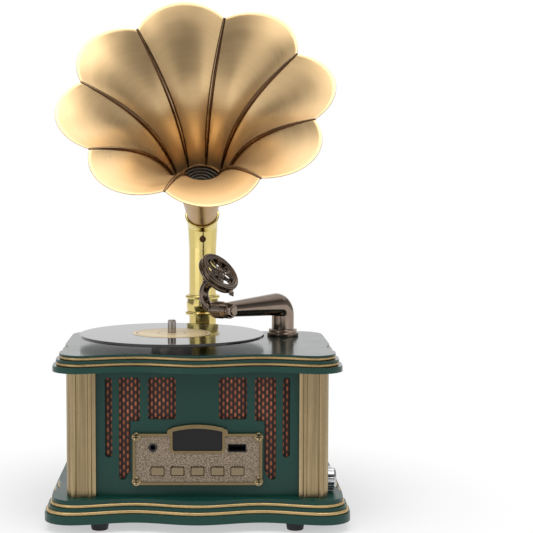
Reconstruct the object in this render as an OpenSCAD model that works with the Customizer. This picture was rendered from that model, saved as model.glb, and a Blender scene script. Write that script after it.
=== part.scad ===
/* [Cabinet] */
// Half width of the plinth at its widest step
plinth_half_w = 111.5; // [104:0.5:116]
// Half depth of the plinth at its widest step
plinth_half_d = 84; // [80:1:92]
// Height of the plinth
plinth_h = 16.5; // [14:0.5:24]
// Height of the body between plinth and top board
body_h = 92; // [88:1:110]
// Thickness of the top board
board_t = 12.5; // [11:0.5:18]
// Half width of the top board's lowest step
board_half_w = 105.5; // [101:0.5:110]
// Half depth of the top board's lowest step
board_half_d = 81; // [78:1:90]
// Depth of the wave along the top board's front edge
board_wave = 10; // [4:1:12]
// Depth of the wave along the plinth's front edge
plinth_wave = 8; // [4:1:12]
// Distance between two crests of the front wave
wave_pitch = 92; // [80:1:100]
// Height of the rubber feet
foot_h = 6.7; // [3:0.1:10]
// Radius of the rubber feet
foot_r = 7; // [5:0.5:9]
// Thickness of the wooden panels
panel_t = 3; // [2.5:0.5:4]
// Half width of the front panel between the pilasters
panel_half_w = 73.7; // [73:0.1:76]
// Distance from the cabinet's centre to the front panel's face
panel_y = 64; // [62:0.5:66]
// Distance from the cabinet's centre to the side panels' outer face
side_x = 94; // [93:0.5:96]
// Distance from the cabinet's centre to the rear panel's outer face
rear_y = 69; // [67:0.5:72]

/* [Front] */
// Width of the control plate
plate_w = 94; // [90:1:100]
// Height of the control plate without its arch
plate_h = 37.6; // [34:0.2:42]
// Height of the control plate's centre, as a share of the front's height
plate_share = 0.3022; // [0.28:0.001:0.36]
// Thickness of the control plate
plate_t = 2.5; // [2:0.1:4]
// Width of one push button
button_w = 9.5; // [7:0.1:11]
// Height of one push button
button_h = 6.3; // [4:0.1:8]
// Distance between the buttons' centres
button_pitch = 14.5; // [13:0.1:16]
// Travel of the push buttons
button_travel = 0.8; // [0.5:0.1:1.2]
// Clearance around the push buttons
button_gap = 0.3; // [0.2:0.05:0.5]
// Radius of the socket for a 3.5 mm plug
aux_r = 1.8; // [1.6:0.05:2.2]
// Radius of the speaker cones' opening, as a share of the front's height
cone_share = 0.2283; // [0.18:0.001:0.24]

/* [Turntable] */
// Radius of the record
record_r = 70.8; // [60:0.5:75]
// Thickness of the record
record_t = 2.2; // [1:0.1:3]
// Height of the record's underside above the board
record_up = 5.3; // [4:0.1:10]
// Distance of the record's centre to the left of the cabinet's centre
record_left = 19.7; // [15:0.5:24]
// Radius of the paper label
label_r = 30; // [20:1:36]
// Radius of the spindle
spindle_r = 3.2; // [2.5:0.1:4]
// Height of the spindle above the record
spindle_up = 10.4; // [6:0.2:14]

/* [Tone arm] */
// Distance of the arm's pivot to the right of the cabinet's centre
arm_x = 68.6; // [66:0.2:72]
// Distance of the arm's pivot behind the cabinet's centre
arm_y = 46; // [40:1:52]
// Radius of the arm's upright tube
arm_r = 8.9; // [7:0.1:10]
// Radius of the arm at its tip
arm_tip_r = 5.4; // [4.6:0.1:6]
// Height of the arm's centre line above the board
arm_up = 25.8; // [24:0.2:32]
// Distance from the pivot to the head's hinge line
arm_reach = 71.5; // [64:0.5:78]
// Plan angle of the arm at rest
arm_turn = 226; // [224:1:240]
// Turn of the head's hinge line against the arm
head_turn = 6; // [0:1:14]
// Radius of the sound box
box_r = 17.2; // [14:0.2:20]
// Depth of the sound box
box_t = 7; // [5:0.5:9]
// Radius of the curved neck's centre line
neck_bend_r = 11; // [10:0.5:14]
// Radius of the curved neck's tube
neck_tube_r = 3.7; // [3:0.1:4]

/* [Horn] */
// Distance of the column to the right of the cabinet's centre
column_x = 4.5; // [0:0.5:10]
// Distance of the column behind the cabinet's centre
column_y = 132; // [126:1:145]
// Radius of the column's plain stretches
column_r = 11.6; // [10:0.2:13]
// Radius of the column's rings
column_ring_r = 15; // [14:0.2:18]
// Height of the elbow above the top board
elbow_up = 87; // [80:1:110]
// Rise of the horn's axis above the horizontal
horn_rise = 40.7; // [32:0.5:50]
// Turn of the horn's axis to the left
horn_turn = 2.8; // [0:0.2:6]
// Distance from the elbow to the mouth along the horn's axis
horn_reach = 153; // [140:1:180]
// Radius of the mouth at the seams between petals
mouth_r = 93.5; // [80:0.5:100]
// Share by which a petal bulges beyond its seams
petal_bulge = 0.107; // [0.05:0.01:0.14]
// Distance that a petal's tip reaches past the seams along the axis
petal_tip = 2.5; // [0:0.5:6]
// Turn of the petals about the horn's axis
petal_turn = 10; // [0:1:44]
// Thickness of the petals
petal_t = 1; // [0.8:0.1:1.6]
// Width of the seams between the petals
seam_w = 1.2; // [0.8:0.1:2]
// Height of the seams on the inside of the horn
seam_h = 2.4; // [1.5:0.1:4]

/* [Hidden] */
$fn = 48;

// Colours
green = [0.19, 0.28, 0.25];
gold = [0.78, 0.62, 0.38];
brass = [0.85, 0.75, 0.42];
antique = [0.62, 0.54, 0.4];
gunmetal = [0.3, 0.27, 0.26];
steel = [0.7, 0.7, 0.72];
black = [0.08, 0.08, 0.09];
pcb = [0.1, 0.35, 0.2];

// Small fits, each written once
seat_gap = 0.05;
shaft_gap = 0.05;
body_gap = 0.3;

// Heights
plinth_z = foot_h;
body_z = plinth_z + plinth_h;
board_z = body_z + body_h;
board_top = board_z + board_t;
record_z = board_top + record_up;
record_top = record_z + record_t;

// Steps of the mouldings: start and end as a share of the height, then how far the step is set back
plinth_steps = [[0, 0.38, 0], [0.38, 0.53, 3.4], [0.53, 0.67, 2.3], [0.67, 0.81, 5.8], [0.81, 1, 4.8]];
board_steps = [[0, 0.34, 0], [0.34, 0.54, 4.6], [0.54, 0.69, 2.3], [0.69, 0.89, 6.8], [0.89, 1, 4.5]];
// How far the lower and the upper bead are set back
plinth_bead_backs = [1, 3.7];
board_bead_backs = [2.4, 4.6];
corner_r = 20;
side_wave = 4;
side_wave_y = -28;
side_wave_l = 48;

// Where the pilasters stand
pilaster_w = side_x - panel_half_w + 2;
pilaster_back = -55;

// Control plate
plate_z = body_z + body_h * plate_share;
plate_face = panel_y + plate_t + seat_gap;
arch_w = 44;
arch_h = 4.6;
window_w = 36;
window_h = 16.2;
window_up = 14.4;
arch_r = 74;
button_drop = 8.8;
jack_x = -32.4;
jack_up = 8.5;
usb_x = 28.7;
usb_up = 8.2;
usb_w = 13.2;
usb_h = 5.6;
usb_l = 14;
port_wall = 0.5;
screw_inset = 2.5;
screw_r = 2.9;

// Knob on the right side
knob_y = -45;
knob_z = body_z + 9.3;
knob_r = 8.9;
knob_l = 8;
knob_shaft_r = 3;

// Pivot of the tone arm
arm_z = board_top + arm_up;
arm_flange_r = 12.6;
arm_flange_t = 2.8;
arm_step_r = 11.3;
arm_step_t = 2.7;
arm_pin_r = 6;
arm_bend_r = 9.4;
coupling_r = 6.15;
coupling_l = 13;
hinge_pin_r = 2.6;
neck_start = 0;
neck_rise = 40;
neck_sweep = 180 - neck_start - neck_rise;
neck_stub = 9.9;
neck_x = -coupling_l / 2 - body_gap;
neck_middle = [neck_x + neck_bend_r * sin(neck_start), 0, neck_bend_r * cos(neck_start)];
neck_end_point = neck_middle + neck_bend_r * [-sin(neck_rise), 0, cos(neck_rise)];

// Horn: radius grows as an exponential in the neck, plus a steep term at the mouth
neck_r = 12;
neck_growth = 1.5;
flare_power = 5;
collar_reach = 11.7;
flare_l = horn_reach - collar_reach + 1.7;
flare_r = mouth_r - neck_r * exp(neck_growth);
petal_start = -98;
petals = 8;
petal_rows = 14;
petal_cols = 10;
elbow_z = board_top + elbow_up;
sleeve_top_r = 12.8;
collar_r = 14.6;
tube_wall = 1.6;
shelf_z = board_z - 12;
shelf_t = 3;
ring_1_z = board_top + 23.7;
ring_2_z = board_top + 9.5;
spigot_r = column_r - tube_wall - 0.2;

// Radius of a seam at the distance t in front of the mouth plane
function seam_r(t) = let (s = 1 + t / flare_l)
  neck_r * exp(neck_growth * s) + flare_r * pow(s, flare_power);
function slope(t) = (seam_r(t + 0.5) - seam_r(t - 0.5));
function smooth(x) = let (c = max(0, min(1, x))) c * c * (3 - 2 * c);
function bulge(t) = petal_bulge * smooth((t - petal_start) / 50 + 0.15);

// Point of one petal: u runs from throat to tip, v from seam to seam, out is the sheet's thickness
function petal_point(u, v, out) =
  let (
    t = petal_start + (petal_tip * (1 - v * v) - petal_start) * u,
    grade = slope(t),
    r = seam_r(t) * (1 + bulge(t) * (1 - v * v)) + out / sqrt(1 + grade * grade),
    half = 180 / petals - asin((seam_w / 2 + seat_gap) / r),
    back = out * grade / sqrt(1 + grade * grade)
  )
  [r * cos(v * half), r * sin(v * half), t - back];

// The frame's origin lies under the middle of the whole object
elbow_tip = [column_x, column_y, elbow_z];
function horn_to_cabinet(p) =
  let (
    a = 90 - horn_rise,
    q = [p[0], p[1] * cos(a) - (p[2] + horn_reach) * sin(a), p[1] * sin(a) + (p[2] + horn_reach) * cos(a)]
  )
  elbow_tip + [q[0] * cos(-horn_turn) - q[1] * sin(-horn_turn), q[0] * sin(-horn_turn) + q[1] * cos(-horn_turn), q[2]];
function turned(p, a) = [p[0] * cos(a) - p[1] * sin(a), p[0] * sin(a) + p[1] * cos(a), p[2]];
rim = [
  for (k = [0 : petals - 1])
    for (j = [0 : petal_cols])
      for (out = [0, petal_t])
        horn_to_cabinet(turned(petal_point(1, 2 * j / petal_cols - 1, out), petal_turn + k * 360 / petals))
];
bracket_half_w = 17;
bracket_back = column_ring_r + 2;
x_low = min([for (p = rim) p[0]]);
x_high = max(max([for (p = rim) p[0]]), plinth_half_w);
y_low = -plinth_half_d;
y_high = column_y + bracket_back;
shift = [-(min(x_low, -plinth_half_w) + x_high) / 2, -(y_low + y_high) / 2, 0];

// Plan outline of the cabinet, set back by a given amount
function outline(w, d, back, wave) =
  let (hw = w - back, hd = d - back, n = 44, c = 6, s = 12, run = hw - corner_r)
  concat(
    [
      for (i = [0 : n])
        let (x = -run + 2 * run * i / n)
        [x, -hd + wave * (1 - cos(360 * x / wave_pitch)) / 2]
    ],
    [for (i = [1 : c - 1]) [run + corner_r * sin(90 * i / c), -hd + corner_r * (1 - cos(90 * i / c))]],
    [
      for (i = [0 : s])
        let (y = side_wave_y + side_wave_l * (i / s - 0.5))
        [hw - side_wave * (1 - cos(360 * i / s)) / 2, y]
    ],
    [for (i = [0 : c]) [run + corner_r * cos(90 * i / c), hd - corner_r + corner_r * sin(90 * i / c)]],
    [for (i = [0 : c]) [-run - corner_r * sin(90 * i / c), hd - corner_r + corner_r * cos(90 * i / c)]],
    [
      for (i = [0 : s])
        let (y = side_wave_y + side_wave_l * (0.5 - i / s))
        [-hw + side_wave * (1 - cos(360 * i / s)) / 2, y]
    ],
    [for (i = [1 : c - 1]) [-run - corner_r * cos(90 * i / c), -hd + corner_r * (1 - sin(90 * i / c))]]
  );

module placed() {
  translate(shift) children();
}

module horn_axis() {
  translate(elbow_tip) rotate([90 - horn_rise, 0, -horn_turn]) children();
}

module arm_frame() {
  translate([arm_x, arm_y, arm_z]) rotate([0, 0, arm_turn]) children();
}

// Frame of the head: x along the hinge line, y back along the arm, z up
module head_frame() {
  arm_frame() translate([arm_reach, 0, 0]) rotate([0, 0, 90 + head_turn]) children();
}

module box_frame() {
  head_frame()
    translate(neck_end_point) rotate([0, 90 - neck_rise, 0]) translate([0, 0, neck_stub + box_t / 2]) children();
}

module rrect(w, h, r) {
  square([w - 2 * r, h], center = true);
  square([w, h - 2 * r], center = true);
  for (x = [-1, 1], y = [-1, 1]) translate([x * (w / 2 - r), y * (h / 2 - r)]) circle(r);
}

// Stands a flat drawing up in a plane that faces the front, y being its front face
module upright(y, t) {
  translate([0, -y + t, 0]) rotate([90, 0, 0]) linear_extrude(t) children();
}

module moulding(w, d, z, h, steps, wave) {
  for (s = steps)
    translate([0, 0, z + h * s[0]]) linear_extrude(h * (s[1] - s[0])) polygon(outline(w, d, s[2], wave));
}

module bead(w, d, z, h, step, back, wave) {
  translate([0, 0, z + h * step[0]])
    linear_extrude(h * (step[1] - step[0]))
      difference() {
        polygon(outline(w, d, back, wave));
        polygon(outline(w, d, step[2] - seat_gap, wave));
      }
}

module plinth() {
  color(green)
    placed()
      difference() {
        moulding(plinth_half_w, plinth_half_d, plinth_z, plinth_h, plinth_steps, plinth_wave);
        translate([-82, -52, plinth_z + 7]) cube([164, 108, plinth_h]);
        for (p = foot_places) translate([p[0], p[1], plinth_z - 1]) cylinder(r = foot_screw_r + 0.1, h = 9);
      }
}

foot_places = [for (x = [-71, 71], y = [-68, 62]) [x, y]];
foot_screw_r = 1.6;

module plinth_beads() {
  color(gold)
    placed() {
      for (i = [0, 1])
        bead(plinth_half_w, plinth_half_d, plinth_z, plinth_h, plinth_steps[2 * i + 1], plinth_bead_backs[i], plinth_wave);
    }
}

module top_board() {
  color(green)
    placed()
      difference() {
        moulding(board_half_w, board_half_d, board_z, board_t, board_steps, board_wave);
        translate([-record_left, 0, board_z - 1]) cylinder(r = bearing_r + seat_gap, h = board_t + 2);
        translate([arm_x, arm_y, board_z - 1]) cylinder(r = arm_socket_r + seat_gap, h = board_t + 2);
      }
}

module board_beads() {
  color(gold)
    placed() {
      for (i = [0, 1])
        bead(board_half_w, board_half_d, board_z, board_t, board_steps[2 * i + 1], board_bead_backs[i], board_wave);
    }
}

side_front = pilaster_back;
side_back = rear_y - 11;

module side_panel(sign) {
  placed()
    difference() {
      translate([sign * (side_x - panel_t / 2) - panel_t / 2, side_front + seat_gap, body_z])
        cube([panel_t, side_back - side_front - 2 * seat_gap, body_h]);
      if (sign > 0)
        translate([side_x - panel_t - 1, knob_y, knob_z]) rotate([0, 90, 0]) cylinder(r = 4, h = panel_t + 2);
    }
}

module side_panel_left() {
  color(green) side_panel(-1);
}

module side_panel_right() {
  color(green) side_panel(1);
}

// The grille openings to the right of the centre line, seen from the front
grille_top = body_h - 4.9;
module grille_cuts() {
  translate([64.6, (grille_top + 28.5) / 2]) rrect(5.2, grille_top - 28.5, 2.4);
  translate([49.4, (grille_top + 55.1) / 2]) rrect(15.2, grille_top - 55.1, 2);
  difference() {
    translate([52.8, (grille_top + 12.2) / 2]) rrect(8.4, grille_top - 12.2, 2);
    polygon([[48, 11], [48, 20.1], [53.5, 11]]);
  }
  translate([25.8, (grille_top + 56.5) / 2]) rrect(20.2, grille_top - 56.5, 2);
}

module front_panel() {
  color(green)
    placed()
      upright(panel_y, panel_t)
        difference() {
          translate([-panel_half_w + seat_gap, body_z]) square([2 * panel_half_w - 2 * seat_gap, body_h]);
          translate([0, body_z]) {
            grille_cuts();
            mirror([1, 0]) grille_cuts();
          }
          translate([0, plate_z]) rrect(plate_w - 12, plate_h - 8, 2);
          translate([0, plate_z + window_up]) square([window_w - 2, window_h - 1], center = true);
          for (p = plate_screw_places) translate([p[0], plate_z + p[1]]) circle(screw_r - 1);
        }
}

// A corner post in plan: a broad bowed band between two ridges, and a rounded outer edge
module pilaster_plan() {
  depth = -pilaster_back;
  translate([panel_half_w, -panel_y]) square([side_x - panel_half_w, panel_y - depth]);
  translate([panel_half_w, -panel_y - 3.5]) square([side_x - panel_half_w - 3, 4]);
  translate([panel_half_w + 4.4, -panel_y - 3.6]) circle(1.5);
  intersection() {
    translate([panel_half_w + 9.8, -panel_y + 7.4]) circle(12);
    translate([panel_half_w + 3, -panel_y - 5]) square([side_x - panel_half_w - 6, 6]);
  }
  translate([side_x - 4, -panel_y - 3]) circle(2.5);
  translate([side_x - 2.9, -panel_y + 0.2]) circle(3.3);
  translate([side_x - 1.1, -panel_y + 4.5]) circle(2.6);
}

module pilaster_right() {
  color(antique) placed() translate([0, 0, body_z]) linear_extrude(body_h) pilaster_plan();
}

module pilaster_left() {
  color(antique) placed() mirror([1, 0, 0]) translate([0, 0, body_z]) linear_extrude(body_h) pilaster_plan();
}

module rear_posts() {
  color(antique)
    placed()
      for (m = [0, 1])
        mirror([m, 0, 0])
          translate([0, 0, body_z])
            linear_extrude(body_h) {
              translate([side_x - 8, side_back]) square([8, rear_y - side_back]);
              translate([side_x - 2.6, rear_y - 1.5]) circle(4.2);
              translate([side_x - 0.6, side_back + 4]) circle(2.4);
            }
}

rear_half_w = side_x - 8;
module rear_panel() {
  color(green)
    placed()
      difference() {
        translate([-rear_half_w + seat_gap, rear_y - panel_t, body_z]) cube([2 * rear_half_w - 2 * seat_gap, panel_t, body_h]);
        translate([switch_x, rear_y + 1, port_z]) rotate([90, 0, 0]) linear_extrude(panel_t + 2) square([14.2, 7.2], center = true);
        translate([charge_x, rear_y + 1, port_z]) rotate([90, 0, 0]) linear_extrude(panel_t + 2) rrect(12.2, 6.2, 1);
        for (p = rear_screw_places) translate([p[0], rear_y + 1, p[1]]) rotate([90, 0, 0]) cylinder(r = 1.6, h = panel_t + 2);
        for (p = bracket_screw_places) translate([p[0], rear_y + 1, p[1]]) rotate([90, 0, 0]) cylinder(r = 2.1, h = panel_t + 2);
      }
}

switch_x = -55;
charge_x = -30;
port_z = body_z + 14;
rear_screw_places = [for (x = [-80, 80], z = [body_z + 6, board_z - 6]) [x, z]];
bracket_screw_places = [for (x = [-1, 1], z = [board_z - 44, board_z - 20]) [column_x + x * 11, z]];

module rear_screws() {
  color(steel)
    placed() {
      for (p = rear_screw_places)
        translate([p[0], rear_y, p[1]])
          rotate([-90, 0, 0])
            difference() {
              union() {
                translate([0, 0, seat_gap]) cylinder(r1 = 3, r2 = 2.4, h = 1.4);
                translate([0, 0, -9]) cylinder(r = 1.5, h = 9 + seat_gap);
              }
              translate([0, 0, 1.9]) cube([3.4, 0.7, 1.4], center = true);
              translate([0, 0, 1.9]) cube([0.7, 3.4, 1.4], center = true);
            }
      for (p = bracket_screw_places)
        translate([p[0], rear_y + bracket_plate_t + 2 * seat_gap, p[1]])
          rotate([-90, 0, 0]) {
            intersection() {
              translate([0, 0, 2.2 - 5]) sphere(5);
              cylinder(r = 3.6, h = 3);
            }
            translate([0, 0, -9]) cylinder(r = 2, h = 9.5);
          }
      translate([column_x, column_y, shelf_z - 3 - seat_gap]) {
        cylinder(r = 6.5, h = 3, $fn = 6);
        cylinder(r = 4, h = 12);
      }
    }
}

cloth_gap = 0.2;
cloth_t = 0.6;
module grille_cloth() {
  color([0.45, 0.22, 0.12])
    placed()
      upright(panel_y - panel_t - cloth_gap, cloth_t)
        difference() {
          translate([-panel_half_w + 1, body_z + 3]) square([2 * panel_half_w - 2, body_h - 5]);
          translate([0, plate_z]) rrect(plate_w - 12, plate_h - 8, 2);
          translate([0, plate_z + window_up]) square([window_w - 2, window_h - 1], center = true);
        }
}

baffle_y = panel_y - panel_t - cloth_gap - cloth_t - cloth_gap;
baffle_t = 3;
cone_r = body_h * cone_share;
speaker_r = cone_r + 4;
speaker_x = 46;
speaker_z = board_z - speaker_r - 1.6;
module speaker_baffle() {
  color([0.5, 0.38, 0.25])
    placed()
      upright(baffle_y, baffle_t)
        difference() {
          translate([-panel_half_w + 1, body_z + 0.2]) square([2 * panel_half_w - 2, body_h - 0.4]);
          for (x = [-1, 1]) {
            translate([x * speaker_x, speaker_z]) circle(cone_r);
            for (a = [45 : 90 : 315])
              translate([x * speaker_x + (speaker_r - 1.6) * cos(a), speaker_z + (speaker_r - 1.6) * sin(a)]) circle(0.8);
          }
          translate([0, plate_z]) rrect(plate_w - 12, plate_h - 8, 2);
          translate([0, plate_z + window_up]) square([window_w - 2, window_h - 1], center = true);
        }
}

module speaker(x) {
  placed()
    translate([x, -baffle_y + baffle_t + seat_gap, speaker_z])
      rotate([-90, 0, 0])
        difference() {
          rotate_extrude()
            polygon([
              [0, 9], [5, 9], [7, 7.5], [cone_r - 3, 1], [cone_r - 1, 0], [speaker_r, 0], [speaker_r, 1.6],
              [cone_r, 1.6], [13, 12], [16, 12], [16, 22], [0, 22]
            ]);
          for (a = [45 : 90 : 315])
            rotate([0, 0, a]) translate([speaker_r - 1.6, 0, -1]) cylinder(r = 1, h = 4);
        }
}

module speaker_left() {
  color(black) speaker(-speaker_x);
}

module speaker_right() {
  color(black) speaker(speaker_x);
}

module speaker_screws() {
  color(steel)
    placed()
      for (x = [-1, 1], a = [45 : 90 : 315])
        translate([
          x * speaker_x + (speaker_r - 1.6) * cos(a),
          -baffle_y + baffle_t + seat_gap,
          speaker_z + (speaker_r - 1.6) * sin(a)
        ])
          rotate([-90, 0, 0]) {
            translate([0, 0, 1.6 + seat_gap]) cylinder(r = 1.5, h = 1);
            translate([0, 0, -2.6]) cylinder(r = 0.7, h = 4.3);
          }
}

module plate_outline(grow) {
  rrect(plate_w + 2 * grow, plate_h + 2 * grow, 3 + grow);
  translate([0, plate_h / 2 - 1]) rrect(arch_w + 2 * grow, 2 * arch_h + 2 * grow, 2.6 + grow / 2);
  intersection() {
    translate([0, plate_h / 2 + arch_h + 2.1 + grow - arch_r]) circle(arch_r, $fn = 180);
    translate([0, plate_h / 2 + arch_h]) square([arch_w - 6, 8], center = true);
  }
}

module button_hole(i) {
  translate([(i - 3) * button_pitch, -button_drop])
    rrect(button_w + 2 * button_gap, button_h + 2 * button_gap, 1);
}

module control_plate() {
  color(antique)
    placed()
      difference() {
        translate([0, 0, plate_z])
          union() {
            upright(plate_face, plate_t) plate_cut(0);
            upright(plate_face + 0.8, 0.9)
              difference() {
                union() {
                  difference() {
                    plate_outline(0);
                    plate_outline(-2);
                  }
                  intersection() {
                    window(2);
                    plate_outline(0);
                  }
                }
                window(0);
              }
          }
        for (p = plate_screw_places)
          translate([p[0], -plate_face - 1, plate_z + p[1]]) rotate([-90, 0, 0]) cylinder(r = screw_r - 1, h = 5);
      }
}

// The display's window with its arched top
module window(grow) {
  intersection() {
    translate([0, window_up]) rrect(window_w + 2 * grow, window_h + 2 * grow, 1.5 + max(grow, 0));
    translate([0, window_up + window_h / 2 + grow - arch_r]) circle(arch_r, $fn = 180);
  }
}

module plate_cut(grow) {
  difference() {
    plate_outline(grow);
    window(0);
    translate([jack_x, jack_up]) circle(3.2);
    translate([usb_x, usb_up]) rrect(usb_w + 0.4, usb_h + 0.4, 0.6);
    for (i = [1 : 5]) button_hole(i);
  }
}

plate_screw_places = [
  for (x = [-1, 1], z = [-1, 1]) [x * (plate_w / 2 - screw_inset), z * (plate_h / 2 - screw_inset)]
];

module plate_screws() {
  color(antique)
    placed()
      for (p = plate_screw_places)
        translate([p[0], -plate_face - 0.8 - seat_gap, plate_z + p[1]])
          rotate([90, 0, 0])
            difference() {
              union() {
                cylinder(r = screw_r, h = 0.9);
                translate([0, 0, -6]) cylinder(r = screw_r - 1.1, h = 6);
                intersection() {
                  translate([0, 0, 1.6 - 5.4]) sphere(5.4);
                  translate([0, 0, 0.9]) cylinder(r = screw_r, h = 2);
                }
              }
              translate([0, 0, 1.6]) cube([3.6, 0.8, 1.6], center = true);
              translate([0, 0, 1.6]) cube([0.8, 3.6, 1.6], center = true);
            }
}

lens_t = 1.4;
module display_lens() {
  color([0.12, 0.12, 0.14])
    placed()
      translate([0, 0, plate_z]) upright(plate_face - 0.4, lens_t) window(-seat_gap);
}

module display_module() {
  color(black)
    placed()
      translate([0, 0, plate_z + window_up]) {
        upright(plate_face - 0.4 - lens_t - seat_gap, 6) square([window_w - 4, window_h - 3], center = true);
        upright(plate_face - 0.4 - lens_t - seat_gap - 6, 1.6) square([window_w - 3, window_h - 2], center = true);
      }
}

switch_face = plate_face - 7.4;
module button(i) {
  color(antique)
    placed()
      translate([(i - 3) * button_pitch, 0, plate_z - button_drop]) {
        upright(plate_face + 1, 4) rrect(button_w, button_h, 0.9);
        upright(plate_face - plate_t - body_gap, 1.2) rrect(button_w + 2.4, button_h + 2, 0.9);
        upright(plate_face - plate_t - body_gap, plate_face - plate_t - body_gap - switch_face - button_travel - body_gap)
          circle(1.6);
      }
}

module button_1() {
  button(1);
}

module button_2() {
  button(2);
}

module button_3() {
  button(3);
}

module button_4() {
  button(4);
}

module button_5() {
  button(5);
}

board_face = switch_face - 1.4;
module button_board() {
  color(pcb)
    placed()
      translate([0, 0, plate_z]) {
        translate([0, 0, -7]) upright(board_face, 1.6) square([81, 13], center = true);
        for (x = [-38.5, 38.5]) translate([x, 0, -7]) upright(panel_y, panel_y - board_face + 0.5) circle(1.8);
        for (i = [1 : 5])
          translate([(i - 3) * button_pitch, 0, -button_drop]) upright(switch_face, 1.4) square([6, 6], center = true);
      }
}

module usb_port() {
  color(steel)
    placed()
      translate([usb_x, 0, plate_z + usb_up]) {
        upright(plate_face - 0.1, usb_l)
          difference() {
            square([usb_w, usb_h], center = true);
            square([usb_w - 2 * port_wall, usb_h - 2 * port_wall], center = true);
          }
        upright(plate_face - 0.1 - usb_l, 1) square([usb_w, usb_h], center = true);
      }
}

module aux_jack() {
  color(steel)
    placed()
      translate([jack_x, -plate_face, plate_z + jack_up])
        rotate([-90, 0, 0])
          difference() {
            union() {
              cylinder(r = 3.15, h = 12);
              translate([0, 0, 3]) cylinder(r = 4.2, h = 11);
            }
            translate([0, 0, -1]) cylinder(r = aux_r, h = 14);
          }
}

module main_board() {
  color(pcb)
    placed()
      translate([-20, -20, plinth_z + 7 + 5]) {
        cube([90, 60, 1.6]);
        translate([10, 12, 1.6]) cube([14, 14, 2]);
        translate([38, 10, 1.6]) cube([9, 9, 1.5]);
        for (x = [60, 72], y = [14, 32]) translate([x, y, 1.6]) cylinder(r = 4, h = 10);
        for (x = [4, 86], y = [4, 56]) translate([x, y, -5]) cylinder(r = 2.5, h = 5);
      }
}

module battery_pack() {
  color([0.2, 0.35, 0.6])
    placed()
      translate([-70, -22, plinth_z + 7 + seat_gap]) {
        cube([24, 74, 3]);
        translate([12, 2, 11]) rotate([-90, 0, 0]) cylinder(r = 9.2, h = 70);
      }
}

module power_switch() {
  color(black)
    placed()
      translate([switch_x, rear_y + 1.2, port_z])
        rotate([90, 0, 0])
          difference() {
            union() {
              linear_extrude(1.15) rrect(18, 10, 1.5);
              translate([0, 0, 1]) linear_extrude(10) square([14, 7], center = true);
            }
            translate([0, 0, -1]) linear_extrude(4) square([10, 4.2], center = true);
          }
}

slider_travel = 4;
module power_slider() {
  color(black)
    placed()
      translate([switch_x - slider_travel / 2, rear_y + 1.2, port_z])
        rotate([90, 0, 0])
          translate([0, 0, -1.6]) linear_extrude(4.3) square([4.6, 3.6], center = true);
}

module charge_port() {
  color(black)
    placed()
      translate([charge_x, rear_y + 0.6, port_z])
        rotate([90, 0, 0])
          difference() {
            union() {
              linear_extrude(0.55) rrect(15, 9, 1.5);
              translate([0, 0, 0.5]) linear_extrude(9) rrect(12, 6, 1);
            }
            translate([0, 0, -1]) linear_extrude(8) rrect(9, 3.2, 1.5);
          }
}

module feet() {
  color(black)
    placed()
      for (p = foot_places)
        translate([p[0], p[1], 0])
          difference() {
            cylinder(r1 = foot_r - 1, r2 = foot_r, h = foot_h);
            translate([0, 0, -1]) cylinder(r = 3.2, h = 3);
            cylinder(r = foot_screw_r + 0.1, h = foot_h + 1);
          }
}

module foot_screws() {
  color(steel)
    placed()
      for (p = foot_places)
        translate([p[0], p[1], 2 - 1.3 - seat_gap]) {
          cylinder(r = 2.9, h = 1.3);
          cylinder(r = foot_screw_r, h = 10);
        }
}

module record() {
  color(black)
    placed()
      translate([-record_left, 0, record_z])
        difference() {
          cylinder(r = record_r, h = record_t, $fn = 96);
          translate([0, 0, -1]) cylinder(r = spindle_shaft_r + seat_gap, h = record_t + 2);
        }
}

label_t = 0.2;
module record_label() {
  color([0.85, 0.65, 0.45])
    placed()
      translate([-record_left, 0, record_top + 0.02])
        difference() {
          cylinder(r = label_r, h = label_t);
          translate([0, 0, -1]) cylinder(r = spindle_shaft_r + seat_gap, h = 3);
        }
}

bearing_r = 8;
spindle_shaft_r = spindle_r + 0.2;
seat_t = record_up - 1.9;
spindle_low = board_z - 14;
module spindle() {
  color(gunmetal)
    placed()
      translate([-record_left, 0, 0]) {
        translate([0, 0, spindle_low]) cylinder(r = spindle_shaft_r, h = record_top + 0.3 - spindle_low);
        translate([0, 0, record_top]) cylinder(r = spindle_r, h = spindle_up - 1);
        translate([0, 0, record_top + spindle_up - 1]) cylinder(r1 = spindle_r, r2 = spindle_r - 0.8, h = 1);
        translate([0, 0, record_z - seat_t - 0.02]) cylinder(r = 16, h = seat_t);
      }
}

module platter_bearing() {
  color(brass)
    placed()
      translate([-record_left, 0, board_z])
        difference() {
          union() {
            cylinder(r = bearing_r, h = board_t + 0.05);
            translate([0, 0, board_t + 0.05]) cylinder(r = bearing_r + 3, h = 1.4);
          }
          translate([0, 0, -1]) cylinder(r = spindle_shaft_r + shaft_gap, h = board_t + 4);
        }
}

module platter_motor() {
  color(steel)
    placed()
      translate([-record_left, 0, board_z])
        difference() {
          union() {
            translate([0, 0, -24]) cylinder(r = 17, h = 24 - seat_gap);
            translate([-24, -5, -1.5]) cube([48, 10, 1.5 - seat_gap]);
          }
          translate([0, 0, -14 - 1]) cylinder(r = spindle_shaft_r + shaft_gap, h = 20);
        }
}

arm_socket_r = 8.6;
module arm_base() {
  color(gunmetal)
    placed()
      translate([arm_x, arm_y, board_top])
        difference() {
          union() {
            translate([0, 0, seat_gap]) cylinder(r = arm_flange_r, h = arm_flange_t);
            translate([0, 0, seat_gap]) cylinder(r = arm_step_r, h = arm_flange_t + arm_step_t);
            translate([0, 0, -board_t - 3]) cylinder(r = arm_socket_r, h = board_t + 3.5);
          }
          translate([0, 0, -board_t - 4]) cylinder(r = arm_pin_r + shaft_gap, h = board_t + 14);
        }
}

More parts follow.
